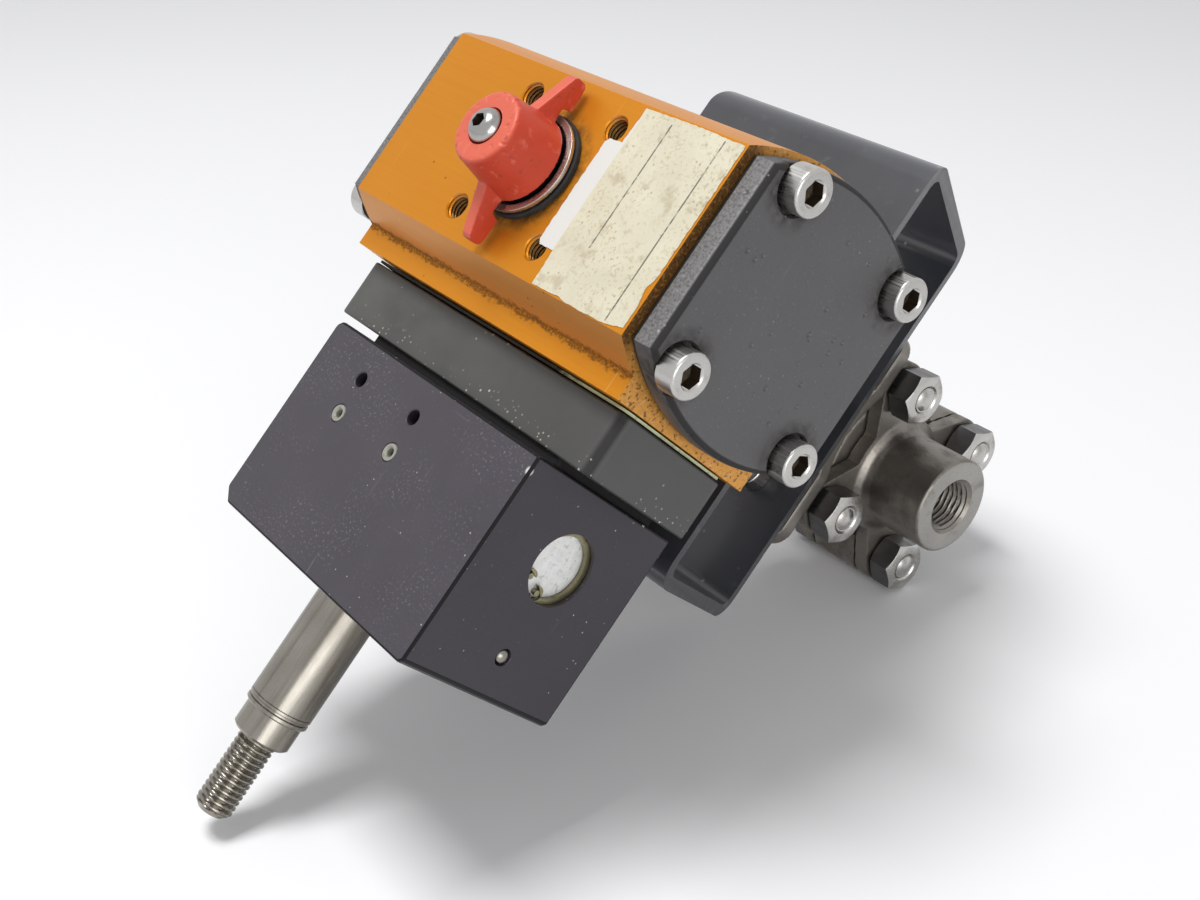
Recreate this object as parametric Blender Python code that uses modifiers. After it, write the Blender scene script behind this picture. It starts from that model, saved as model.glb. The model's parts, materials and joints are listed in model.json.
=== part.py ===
"""Ball valve turned by a double-acting rack-and-pinion air actuator, with its pilot valve.

The origin is the centre of the ball, where the pipe axis (X) crosses the stem axis (Z).
+X is the near pipe end, -Y is the side of the pilot valve, and the actuator is on top.
The valve is drawn closed. All sizes are in metres.
"""

import math

import bmesh
import bpy
from mathutils import Matrix

# Clearances
SEAT_GAP = 0.0003
RUNNING_GAP = 0.00015
HOLE_GAP = 0.0003
PISTON_GAP = 0.0004
SEAL_GAP = 0.00025

# How far a cutter stands past the face that it cuts
OVER = 0.001

# Points closer than this are one point
SAME_PLACE = 0.0000005

# Three-piece ball valve
PIPE_TO_PAD = 0.0270
BALL_R = 0.0066
SEAT_RIM_GAP = 0.0001
SEAT_LIP = 0.0002
SEAT_RIM = 0.0003
WAY_R = 0.0036
CENTRE_CASTING_WIDTH = 0.0140
CENTRE_CASTING_R = 0.0182
FLANGE_THICKNESS = 0.0039
FLANGE_WAIST_R = 0.0150
FLANGE_LOBE_R = 0.0066
HUB_R = 0.0116
HUB_FLARE = 0.0022
HUB_LENGTH = 0.0180
HUB_EDGE = 0.0005
PORT_CHAMFER = 0.0006
PORT_R = 0.00625
PORT_DEPTH = 0.0120
PAD_THICKNESS = 0.0040
PAD_HALF_WIDTH = 0.0127
PAD_NEAR = 0.0308
PAD_FAR = 0.0260
PAD_CORNER_R = 0.0050
PAD_NECK_HALF_Y = 0.0105
NECK_INSET = 0.0004
LOBE_INSET = 0.0002
BODY_BOLT_Y = 0.0164
BODY_BOLT_Z = 0.0159
BODY_BOLT_R = 0.0030
BODY_BOLT_PROUD = 0.0007
NUT_FLATS = 0.0113
NUT_HEIGHT = 0.0064
NUT_TURN = math.radians(30)
BOLT_HEAD_HEIGHT = 0.0040
STEM_R = 0.0040
STEM_SHOULDER_R = 0.0050
STEM_SHOULDER_HEIGHT = 0.0021
STEM_SQUARE = 0.0056
STEM_SQUARE_HEIGHT = 0.0110
STEM_TANG_THICKNESS = 0.0024
STEM_TANG_DEPTH = 0.0018
PACKING_R = 0.0057
PACKING_HEIGHT = 0.0057
PACKING_FLOOR = 0.0160
GLAND_FLATS = 0.0130
GLAND_HEAD_HEIGHT = 0.0035

# Bracket sawn from rectangular tube
BRACKET_HEIGHT = 0.0500
BRACKET_WIDTH = 0.1000
BRACKET_WALL = 0.0030
BRACKET_CORNER_R = 0.0060
BRACKET_TOP_HALF_LENGTH = 0.0323
BRACKET_FOOT_HALF_LENGTH = 0.0125
BRACKET_SHIFT_Y = -0.0010
BRACKET_BOLT_Y = 0.0190
BRACKET_BOLT_R = 0.00235
BRACKET_BOLT_HEAD_R = 0.00425
BRACKET_BOLT_HEAD_HEIGHT = 0.0045
COUPLING_R = 0.0085
COUPLING_SQUARE = 0.0087
COUPLING_RAISE = 0.0030
COUPLING_EDGE = 0.0006

# Actuator barrel
BARREL_LENGTH = 0.0852
BARREL_HEIGHT = 0.0562
BARREL_TOP_HALF_WIDTH = 0.0187
BARREL_BULGE = 0.0270
PAD_FACE_Y = 0.0275
PAD_FACE_HALF_HEIGHT = 0.0204
CYLINDER_R = 0.0200
TOP_HOLE_SPACING = 0.0252
TOP_HOLE_R = 0.00225
TOP_HOLE_DEPTH = 0.0085
COUNTERSINK_R = 0.00275
AIR_PORT_X = 0.0120
AIR_PORT_R = 0.0022

# End caps
CAP_HALF_HEIGHT = 0.0264
CAP_TOP_HALF_WIDTH = 0.0181
CAP_BULGE = 0.0260
CAP_FRONT_THICKNESS = 0.0049
CAP_REAR_THICKNESS = 0.0042
CAP_EDGE_R = 0.0015
CAP_SPIGOT_LENGTH = 0.0022
CAP_SCREW_Y = 0.0180
CAP_SCREW_Z = 0.01884
CAP_SCREW_R = 0.00235
CAP_SCREW_HEAD_R = 0.00432
CAP_SCREW_HEAD_HEIGHT = 0.0046
CAP_SCREW_SOCKET = 0.0040
CAP_SCREW_SOCKET_DEPTH = 0.0025
CAP_SCREW_GRIP = 0.0105
COUNTERBORE_DEPTH = 0.0013
GASKET_THICKNESS = 0.0006
GASKET_INSET = 0.0004

# Rack and pinion
GEAR_MODULE = 0.00125
PINION_TEETH = 14
PRESSURE_ANGLE = math.radians(25)
TOOTH_CLEARANCE = 0.00031
FLANK_GAP = 0.0002
PINION_FACE = 0.0150
RACK_FACE = 0.0130
RACK_BACK_Y = 0.0175
RACK_TEETH_BEFORE = 2
RACK_TEETH_AFTER = 4
TOP_JOURNAL_R = 0.0080
LOWER_JOURNAL_R = 0.0103
BEARING_WALL = 0.0013
BEARING_LENGTH = 0.0070
PINION_SOCKET_DEPTH = 0.0120
PISTON_THICKNESS = 0.0065
PISTON_INNER_X = 0.0190
RACK_TIP_SPACE = 0.0005
PISTON_SEAL_WIDTH = 0.0023
PISTON_SEAL_DEPTH = 0.0015
WASHER_THICKNESS = 0.0010
WASHER_R = 0.0107
SNAP_RING_THICKNESS = 0.0009
SNAP_RING_R = 0.0095
SNAP_GROOVE_DEPTH = 0.0009
SNAP_RING_GAP = 18
JOURNAL_RIM = 0.0004

# Position knob
KNOB_HEIGHT = 0.0111
KNOB_FOOT_R = 0.0087
KNOB_TOP_R = 0.0073
KNOB_ROUNDING = 0.0009
KNOB_RECESS_R = 0.0043
KNOB_RECESS_DEPTH = 0.0015
WING_TIP_Y = 0.0175
WING_ROOT_HALF_THICKNESS = 0.0024
WING_TIP_HALF_THICKNESS = 0.0013
WING_SHOULDER_Y = 0.0062
WING_SHOULDER_RISE = 0.0054
WING_TIP_RISE = 0.0014
WING_TIP_DROP = 0.0019
WING_NOTCH_Y = 0.0112
KNOB_SCREW_R = 0.0020
KNOB_SCREW_HEAD_R = 0.0035
KNOB_SCREW_HEAD_HEIGHT = 0.0032
KNOB_SCREW_REACH = 0.0090
KNOB_SCREW_SOCKET = 0.0025

# Adapter and pilot valve
ADAPTER_MIN_X = -0.0414
ADAPTER_MAX_X = 0.0420
ADAPTER_THICKNESS = 0.0119
ADAPTER_HALF_HEIGHT = 0.0162
ADAPTER_CORNER_R = 0.0030
PORT_GASKET_THICKNESS = 0.0005
ADAPTER_SCREW_X = 0.0240
ADAPTER_SCREW_Z = 0.0090
INTERFACE_GASKET_THICKNESS = 0.0017
INTERFACE_GASKET_END_INSET = 0.0042
INTERFACE_GASKET_SIDE_INSET = 0.0012
BLOCK_MIN_X = -0.0322
BLOCK_MAX_X = 0.0352
BLOCK_DEPTH = 0.0421
BLOCK_HALF_HEIGHT = 0.0207
BLOCK_FAR_CHAMFER = 0.0027
BLOCK_NEAR_CHAMFER = 0.0012
BLOCK_FRONT_CHAMFER = 0.0017
BLOCK_SCREW_X = 0.0260
BLOCK_SCREW_Z = 0.0120
BLOCK_SCREW_R = 0.0017
BLOCK_SCREW_HEAD_R = 0.0028
BLOCK_SCREW_HEAD_HEIGHT = 0.0030
SPOOL_SETBACK = 0.0147
SPOOL_BORE_R = 0.0050
SPOOL_LAND_WIDTH = 0.0080
SPOOL_NECK_R = 0.0028
SPOOL_LENGTH = 0.0480
SPOOL_STROKE = 0.0030
SPOOL_PLUG_R = 0.0070
SPOOL_PLUG_LENGTH = 0.0040
SPOOL_PLUG_RECESS = 0.0024
CIRCLIP_RECESS = 0.0012
CIRCLIP_THICKNESS = 0.0009
CIRCLIP_WIDTH = 0.0013
BALL_PLUG_SETBACK = 0.0333
BALL_PLUG_R = 0.00165
UPPER_HOLE_FIRST_X = -0.0168
UPPER_HOLE_SECOND_X = 0.0021
UPPER_HOLE_R = 0.0015
UPPER_HOLE_SETBACK = 0.0070
UPPER_HOLE_DEPTH = 0.0100
VENT_INSERT_R = 0.00215
VENT_INSERT_HOLE_R = 0.00115
VENT_INSERT_LENGTH = 0.0030

# Armature tube
TUBE_X = -0.0065
TUBE_R = 0.0068
TUBE_LENGTH = 0.0286
TUBE_COLLAR_R = 0.0061
TUBE_COLLAR_LENGTH = 0.0056
TUBE_THREAD_R = 0.0040
TUBE_THREAD_LENGTH = 0.0174
TUBE_SOCKET_DEPTH = 0.0065
ARMATURE_R = 0.0042
ARMATURE_LENGTH = 0.0240
ARMATURE_STROKE = 0.0015
ARMATURE_TIP_LENGTH = 0.0030
SPRING_WIRE_R = 0.00035
SPRING_LENGTH = 0.0060
SPRING_TURNS = 3.5

# Facets of the round pieces
FINE = 24
MEDIUM = 16
COARSE = 12
SMALL = 8

# Heights and faces that follow from the sizes above
BRACKET_LOW = PIPE_TO_PAD + SEAT_GAP
BRACKET_TOP = BRACKET_LOW + BRACKET_HEIGHT
BARREL_LOW = BRACKET_TOP + SEAT_GAP
BARREL_TOP = BARREL_LOW + BARREL_HEIGHT
BARREL_MID = BARREL_LOW + BARREL_HEIGHT / 2
BARREL_END = BARREL_LENGTH / 2
CAP_INNER_X = BARREL_END + GASKET_THICKNESS + 2 * SEAT_GAP
PITCH = math.pi * GEAR_MODULE
PITCH_R = GEAR_MODULE * PINION_TEETH / 2
WASHER_LOW = BARREL_TOP + SEAT_GAP
SNAP_RING_LOW = WASHER_LOW + WASHER_THICKNESS + SEAT_GAP
PINION_TOP = SNAP_RING_LOW + SNAP_RING_THICKNESS + JOURNAL_RIM
PINION_LOW = BARREL_LOW + SEAT_GAP
KNOB_LOW = PINION_TOP + SEAT_GAP
KNOB_TOP = KNOB_LOW + KNOB_HEIGHT
TOP_BEARING_R = TOP_JOURNAL_R + RUNNING_GAP + BEARING_WALL
LOWER_BEARING_R = LOWER_JOURNAL_R + RUNNING_GAP + BEARING_WALL
FLANGE_INNER_X = CENTRE_CASTING_WIDTH / 2 + SEAT_GAP
FLANGE_OUTER_X = FLANGE_INNER_X + FLANGE_THICKNESS
PORT_GASKET_Y = -PAD_FACE_Y - SEAT_GAP
ADAPTER_Y = PORT_GASKET_Y - PORT_GASKET_THICKNESS - SEAT_GAP
INTERFACE_Y = ADAPTER_Y - ADAPTER_THICKNESS - SEAT_GAP
BLOCK_Y = INTERFACE_Y - INTERFACE_GASKET_THICKNESS - SEAT_GAP
BLOCK_END_Y = BLOCK_Y - BLOCK_DEPTH
SPOOL_Y = BLOCK_Y - SPOOL_SETBACK
STEM_SEAT_Z = BALL_R + SEAT_GAP
CAVITY_R = BALL_R + SEAT_GAP + SEAT_RIM_GAP
GLAND_LOW = PACKING_FLOOR + PACKING_HEIGHT + 2 * SEAT_GAP

# Directions that a turned or drilled shape can point in, as rotations of +Z
UP = (0, 0, 0)
DOWN = (math.pi, 0, 0)
PLUS_X = (0, math.pi / 2, 0)
MINUS_X = (0, -math.pi / 2, 0)
PLUS_Y = (-math.pi / 2, 0, 0)
MINUS_Y = (math.pi / 2, 0, 0)
# An outline's X and Y become world Y and Z, and its thickness runs along X
ACROSS_X = (math.pi / 2, 0, math.pi / 2)
# An outline's X and Y become world X and Z, and its thickness runs along -Y
ACROSS_Y = (math.pi / 2, 0, 0)

ORANGE = ("anodised_orange", (0.66, 0.26, 0.017), 0.38, 0.6)
CAST_DARK = ("cast_dark", (0.09, 0.088, 0.085), 0.5, 0.5)
BLOCK_DARK = ("block_dark", (0.055, 0.05, 0.057), 0.42, 0.4)
BLACK_PAINT = ("black_paint", (0.02, 0.021, 0.024), 0.35, 0.0)
STAINLESS = ("stainless", (0.42, 0.41, 0.38), 0.3, 1.0)
CAST_STAINLESS = ("cast_stainless", (0.33, 0.31, 0.29), 0.45, 1.0)
ZINC = ("zinc", (0.4, 0.39, 0.37), 0.35, 1.0)
BLACK_STEEL = ("black_steel", (0.03, 0.03, 0.032), 0.4, 0.8)
KNOB_RED = ("knob_red", (0.68, 0.12, 0.06), 0.45, 0.0)
BLACK_RUBBER = ("black_rubber", (0.015, 0.015, 0.015), 0.7, 0.0)
GREEN_GASKET = ("green_gasket", (0.42, 0.5, 0.3), 0.8, 0.0)
WHITE_PLASTIC = ("white_plastic", (0.75, 0.74, 0.7), 0.4, 0.0)
KHAKI = ("khaki_zinc", (0.38, 0.31, 0.17), 0.4, 0.8)
ALUMINIUM = ("plain_aluminium", (0.55, 0.55, 0.54), 0.4, 1.0)


def clear_scene():
    for item in list(bpy.data.objects):
        bpy.data.objects.remove(item, do_unlink=True)


def new_collection(name):
    group = bpy.data.collections.new(name)
    bpy.context.scene.collection.children.link(group)
    return group


clear_scene()
PARTS = new_collection("pneumatic_ball_valve")
TOOLS = new_collection("cutters")


def get_material(finish):
    name, colour, roughness, metallic = finish
    known = bpy.data.materials.get(name)
    if known:
        return known
    paint = bpy.data.materials.new(name)
    paint.use_nodes = True
    shader = paint.node_tree.nodes["Principled BSDF"]
    shader.inputs["Base Color"].default_value = (*colour, 1)
    shader.inputs["Roughness"].default_value = roughness
    shader.inputs["Metallic"].default_value = metallic
    return paint


def add_object(name, data, location=(0, 0, 0), rotation=UP):
    item = bpy.data.objects.new(name, data)
    item.location = location
    item.rotation_euler = rotation
    PARTS.objects.link(item)
    return item


def evaluated_mesh(item):
    bpy.context.view_layer.update()
    graph = bpy.context.evaluated_depsgraph_get()
    return bpy.data.meshes.new_from_object(item.evaluated_get(graph))


def settle(item):
    """Apply the modifiers, so that copies can share the mesh."""
    mesh = evaluated_mesh(item)
    item.modifiers.clear()
    item.data = mesh
    return item


def dress(item, finish):
    item.data.materials.clear()
    item.data.materials.append(get_material(finish))
    item.data.shade_smooth()
    item.data.set_sharp_from_angle(angle=math.radians(32))
    return item


def copy_of(item, name, location, rotation):
    return add_object(name, item.data, location, rotation)


def put_away(item):
    """Keep a shape as a cutter or guide that isn't a piece."""
    PARTS.objects.unlink(item)
    TOOLS.objects.link(item)
    item.hide_render = True
    item.display_type = "WIRE"


def combine(item, tools, operation, solver="EXACT"):
    for tool in tools:
        step = item.modifiers.new(operation.title(), "BOOLEAN")
        step.operation = operation
        step.solver = solver
        step.object = tool
        put_away(tool)


def cut(item, *tools):
    combine(item, tools, "DIFFERENCE")


def join(item, *tools):
    combine(item, tools, "UNION")


def turned(name, profile, location=(0, 0, 0), direction=UP, steps=MEDIUM, ring=False):
    """Turn a profile of (radius, height) points, listed down the outer side, about its Z."""
    mesh = bpy.data.meshes.new(name)
    points = [(radius, 0, height) for radius, height in profile]
    edges = [(index, index + 1) for index in range(len(points) - 1)]
    if ring:
        edges.append((len(points) - 1, 0))
    mesh.from_pydata(points, edges, [])
    item = add_object(name, mesh, location, direction)
    turn = item.modifiers.new("Turn", "SCREW")
    turn.steps = steps
    turn.render_steps = steps
    turn.use_merge_vertices = True
    turn.merge_threshold = 0.000001
    return settle(item)


def ring(name, inner, outer, thickness, location, direction=UP, steps=MEDIUM):
    """A plain ring that stands on its location."""
    profile = [(outer, thickness), (outer, 0), (inner, 0), (inner, thickness)]
    return turned(name, profile, location, direction, steps, ring=True)


def rod(name, radius, length, location, direction=UP, steps=MEDIUM):
    """A plain cylinder that stands on its location."""
    mesh = bpy.data.meshes.new(name)
    shape = bmesh.new()
    bmesh.ops.create_cone(shape, cap_ends=True, segments=steps, radius1=radius, radius2=radius, depth=length)
    bmesh.ops.translate(shape, verts=shape.verts, vec=(0, 0, length / 2))
    shape.to_mesh(mesh)
    shape.free()
    return add_object(name, mesh, location, direction)


def hexagon(name, flats, length, location, direction=UP):
    return rod(name, flats / math.sqrt(3), length, location, direction, 6)


def box(name, low, high):
    mesh = bpy.data.meshes.new(name)
    shape = bmesh.new()
    bmesh.ops.create_cube(shape, size=1)
    size = [top - bottom for bottom, top in zip(low, high)]
    middle = [(top + bottom) / 2 for bottom, top in zip(low, high)]
    bmesh.ops.scale(shape, verts=shape.verts, vec=size)
    bmesh.ops.translate(shape, verts=shape.verts, vec=middle)
    shape.to_mesh(mesh)
    shape.free()
    return add_object(name, mesh)


def drill(radius, depth, location, direction, steps=SMALL):
    """A cutter for a blind hole, whose mouth is at the location."""
    tip = radius * 0.5
    profile = [(0, OVER), (radius, OVER), (radius, -depth), (0, -depth - tip)]
    return turned("drill", profile, location, direction, steps)


def stepped_drill(mouth_r, mouth_depth, radius, depth, location, direction, steps=MEDIUM):
    """A cutter for a counterbored hole with a flat floor."""
    profile = [(0, OVER), (mouth_r, OVER), (mouth_r, -mouth_depth), (radius, -mouth_depth)]
    profile += [(radius, -depth), (0, -depth)]
    return turned("stepped_drill", profile, location, direction, steps)


def arc(centre, radius, start, end, count):
    """Points along an arc, both ends included, with angles in degrees."""
    points = []
    for index in range(count + 1):
        angle = math.radians(start + (end - start) * index / count)
        points.append((centre[0] + radius * math.cos(angle), centre[1] + radius * math.sin(angle)))
    return points


def circle(radius, centre=(0, 0), count=SMALL):
    """A many-sided circle with flats on its four sides."""
    half_step = 180 / count
    return arc(centre, radius, half_step, 360 - half_step, count - 1)


def rounded_rectangle(low, high, radius, count=3):
    (x0, y0), (x1, y1) = low, high
    points = arc((x1 - radius, y1 - radius), radius, 0, 90, count)
    points += arc((x0 + radius, y1 - radius), radius, 90, 180, count)
    points += arc((x0 + radius, y0 + radius), radius, 180, 270, count)
    points += arc((x1 - radius, y0 + radius), radius, 270, 360, count)
    return points


def slab(name, outlines, thickness, location, rotation=UP):
    """A flat plate whose first face is at the location, from an outline and its holes."""
    curve = bpy.data.curves.new(name, "CURVE")
    curve.dimensions = "2D"
    curve.fill_mode = "BOTH"
    curve.extrude = thickness / 2
    for outline in outlines:
        spline = curve.splines.new("POLY")
        spline.points.add(len(outline) - 1)
        spline.use_cyclic_u = True
        for point, (x, y) in zip(spline.points, outline):
            point.co = (x, y, 0, 1)
    guide = add_object(name + "_outline", curve)
    mesh = evaluated_mesh(guide)
    bpy.data.objects.remove(guide)
    shape = bmesh.new()
    shape.from_mesh(mesh)
    bmesh.ops.remove_doubles(shape, verts=shape.verts, dist=SAME_PLACE)
    bmesh.ops.translate(shape, verts=shape.verts, vec=(0, 0, thickness / 2))
    bmesh.ops.recalc_face_normals(shape, faces=shape.faces)
    shape.to_mesh(mesh)
    shape.free()
    return add_object(name, mesh, location, rotation)


def side_arc(half_height, top_half_width, bulge):
    """Radius and centre of the arc from the top's edge to the bottom's edge."""
    rise = bulge - top_half_width
    radius = (half_height ** 2 + rise ** 2) / (2 * rise)
    return radius, bulge - radius


def barrel_side(half_height, top_half_width, bulge, start, end, count):
    """Points on the bulged side between two heights."""
    radius, centre = side_arc(half_height, top_half_width, bulge)
    first = math.degrees(math.asin(start / radius))
    last = math.degrees(math.asin(end / radius))
    return arc((centre, 0), radius, first, last, count)


def barrel_outline():
    """Extruded section, as (y, z) from the cylinder axis, with the flat pad on the -Y side."""
    sizes = (BARREL_HEIGHT / 2, BARREL_TOP_HALF_WIDTH, BARREL_BULGE)
    half = BARREL_HEIGHT / 2
    pad = PAD_FACE_HALF_HEIGHT
    points = barrel_side(*sizes, -half, half, 10)
    points += [(-y, z) for y, z in barrel_side(*sizes, half, pad, 2)]
    points += [(-PAD_FACE_Y, pad), (-PAD_FACE_Y, -pad)]
    points += [(-y, z) for y, z in barrel_side(*sizes, -pad, -half, 2)]
    return points


def cap_outline(inset=0.0):
    half = CAP_HALF_HEIGHT - inset
    sizes = (half, CAP_TOP_HALF_WIDTH - inset, CAP_BULGE - inset)
    points = barrel_side(*sizes, -half, half, 8)
    points += [(-y, z) for y, z in barrel_side(*sizes, half, -half, 8)]
    return points


def corners(half_y, half_z):
    return [(half_y, half_z), (-half_y, half_z), (-half_y, -half_z), (half_y, -half_z)]


def make_barrel():
    outlines = [barrel_outline(), circle(CYLINDER_R, count=FINE)]
    barrel = slab("actuator_body", outlines, BARREL_LENGTH, (-BARREL_END, 0, BARREL_MID), ACROSS_X)
    half_spacing = TOP_HOLE_SPACING / 2
    chamfer = COUNTERSINK_R - TOP_HOLE_R
    profile = [(0, OVER), (COUNTERSINK_R + OVER, OVER), (TOP_HOLE_R, -chamfer)]
    profile += [(TOP_HOLE_R, -TOP_HOLE_DEPTH), (0, -TOP_HOLE_DEPTH - chamfer)]
    for x, y in corners(half_spacing, half_spacing):
        cut(barrel, turned("mount_hole", profile, (x, y, BARREL_TOP), UP, COARSE))
        lower_r = BRACKET_BOLT_R + HOLE_GAP
        cut(barrel, drill(lower_r, TOP_HOLE_DEPTH, (x, y, BARREL_LOW), DOWN))
    for y, z in corners(CAP_SCREW_Y, CAP_SCREW_Z):
        for side, direction in ((1, PLUS_X), (-1, MINUS_X)):
            mouth = (side * BARREL_END, y, BARREL_MID + z)
            cut(barrel, drill(CAP_SCREW_R + HOLE_GAP, CAP_SCREW_GRIP + SEAT_GAP, mouth, direction))
    top_bore_r = TOP_BEARING_R + SEAT_GAP
    lower_bore_r = LOWER_BEARING_R + SEAT_GAP
    cut(barrel, rod("top_bore", top_bore_r, BARREL_HEIGHT, (0, 0, BARREL_MID), UP, FINE))
    cut(barrel, rod("lower_bore", lower_bore_r, BARREL_HEIGHT, (0, 0, BARREL_MID), DOWN, FINE))
    for x in (-AIR_PORT_X, AIR_PORT_X):
        depth = PAD_FACE_Y - CYLINDER_R / 2
        cut(barrel, drill(AIR_PORT_R, depth, (x, -PAD_FACE_Y, BARREL_MID), MINUS_Y))
    for x, z in adapter_screw_places():
        depth = adapter_screw_grip() + SEAT_GAP
        cut(barrel, drill(CAP_SCREW_R + HOLE_GAP, depth, (x, -PAD_FACE_Y, z), MINUS_Y))
    dress(barrel, ORANGE)


def round_far_edge(item, height, radius):
    """Round the outer edge of a slab's far face."""
    shape = bmesh.new()
    shape.from_mesh(item.data)
    edges = []
    for edge in shape.edges:
        flat = all(abs(vertex.co.z - height) < SAME_PLACE for vertex in edge.verts)
        side = [face for face in edge.link_faces if abs(face.normal.z) < 0.5]
        if flat and side:
            edges.append(edge)
    bmesh.ops.bevel(shape, geom=edges, offset=radius, segments=1, affect="EDGES")
    shape.to_mesh(item.data)
    shape.free()


def make_end_cap(name, thickness, side):
    """side is 1 for the +X end and -1 for the -X end."""
    rotation = ACROSS_X if side > 0 else (math.pi / 2, 0, -math.pi / 2)
    direction = PLUS_X if side > 0 else MINUS_X
    cap = slab(name, [cap_outline()], thickness, (side * CAP_INNER_X, 0, BARREL_MID), rotation)
    round_far_edge(cap, thickness, CAP_EDGE_R)
    spigot_r = CYLINDER_R - PISTON_GAP
    overlap = thickness / 2
    start = (side * (CAP_INNER_X - CAP_SPIGOT_LENGTH), 0, BARREL_MID)
    join(cap, rod("spigot", spigot_r, CAP_SPIGOT_LENGTH + overlap, start, direction, MEDIUM))
    for y, z in corners(CAP_SCREW_Y, CAP_SCREW_Z):
        mouth = (side * (CAP_INNER_X + thickness), y, BARREL_MID + z)
        hole = (CAP_SCREW_R + HOLE_GAP, thickness + OVER)
        head_r = CAP_SCREW_HEAD_R + HOLE_GAP
        cut(cap, stepped_drill(head_r, COUNTERBORE_DEPTH, *hole, mouth, direction, COARSE))
    dress(cap, CAST_DARK)


def make_end_seal(name, side):
    holes = [circle(CYLINDER_R, count=FINE)]
    for place in corners(CAP_SCREW_Y, CAP_SCREW_Z):
        holes.append(circle(CAP_SCREW_R + HOLE_GAP, place))
    centre = side * (BARREL_END + SEAT_GAP + GASKET_THICKNESS / 2)
    start = (centre - GASKET_THICKNESS / 2, 0, BARREL_MID)
    seal = slab(name, [cap_outline(GASKET_INSET)] + holes, GASKET_THICKNESS, start, ACROSS_X)
    dress(seal, BLACK_RUBBER)


def socket_screw(name, shank_r, shank_length, head_r, head_height, socket, socket_depth, steps=COARSE):
    """A cylinder-head screw along its own Z, with the seat of its head at z = 0."""
    edge = head_r * 0.1
    profile = [(0, head_height), (head_r - edge, head_height), (head_r, head_height - edge)]
    profile += [(head_r, 0), (shank_r, 0), (shank_r, -shank_length), (0, -shank_length)]
    screw = turned(name, profile, steps=steps)
    cut(screw, hexagon("socket", socket, socket_depth * 2, (0, 0, head_height - socket_depth)))
    return settle(screw)


def plain_screw(name, shank_r, shank_length, head_r, head_height):
    """A cylinder-head screw whose head is hidden inside the bracket."""
    profile = [(0, head_height), (head_r, head_height), (head_r, -SEAT_GAP), (shank_r, -SEAT_GAP)]
    profile += [(shank_r, -shank_length), (0, -shank_length)]
    return turned(name, profile, steps=SMALL)


def make_cap_screws():
    sizes = (CAP_SCREW_HEAD_R, CAP_SCREW_HEAD_HEIGHT, CAP_SCREW_SOCKET, CAP_SCREW_SOCKET_DEPTH)
    for end, side, thickness, direction in (
        ("front", 1, CAP_FRONT_THICKNESS, PLUS_X),
        ("rear", -1, CAP_REAR_THICKNESS, MINUS_X),
    ):
        seat = CAP_INNER_X + thickness - COUNTERBORE_DEPTH + SEAT_GAP
        reach = seat - BARREL_END + CAP_SCREW_GRIP - SEAT_GAP
        first = socket_screw("cap_screw_" + end, CAP_SCREW_R, reach, *sizes, steps=COARSE)
        dress(first, ZINC)
        for index, (y, z) in enumerate(corners(CAP_SCREW_Y, CAP_SCREW_Z)):
            name = "cap_screw_%s_%d" % (end, index + 1)
            copy_of(first, name, (side * seat, y, BARREL_MID + z), direction)
        bpy.data.objects.remove(first)


def involute_tooth(count=2):
    """Half of one pinion tooth, from its root to its tip, as (radius, angle from its middle)."""
    base_r = PITCH_R * math.cos(PRESSURE_ANGLE)
    tip_r = PITCH_R + GEAR_MODULE
    root_r = PITCH_R - GEAR_MODULE - TOOTH_CLEARANCE
    half_thickness = PITCH / 4 - FLANK_GAP / 2
    offset = half_thickness / PITCH_R + math.tan(PRESSURE_ANGLE) - PRESSURE_ANGLE
    half = [(root_r, offset + 0.02), (base_r, offset)]
    for index in range(1, count + 1):
        radius = base_r + (tip_r - base_r) * index / count
        angle = math.acos(base_r / radius)
        half.append((radius, offset - math.tan(angle) + angle))
    return half


def gear_outline():
    """Teeth of the pinion, with a space of the teeth facing +Y and -Y."""
    half = involute_tooth()
    points = []
    for tooth in range(PINION_TEETH):
        middle = math.pi / 2 + 2 * math.pi * (tooth + 0.5) / PINION_TEETH
        for radius, angle in half:
            points.append((radius * math.cos(middle - angle), radius * math.sin(middle - angle)))
        for radius, angle in reversed(half):
            points.append((radius * math.cos(middle + angle), radius * math.sin(middle + angle)))
    return points


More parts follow.
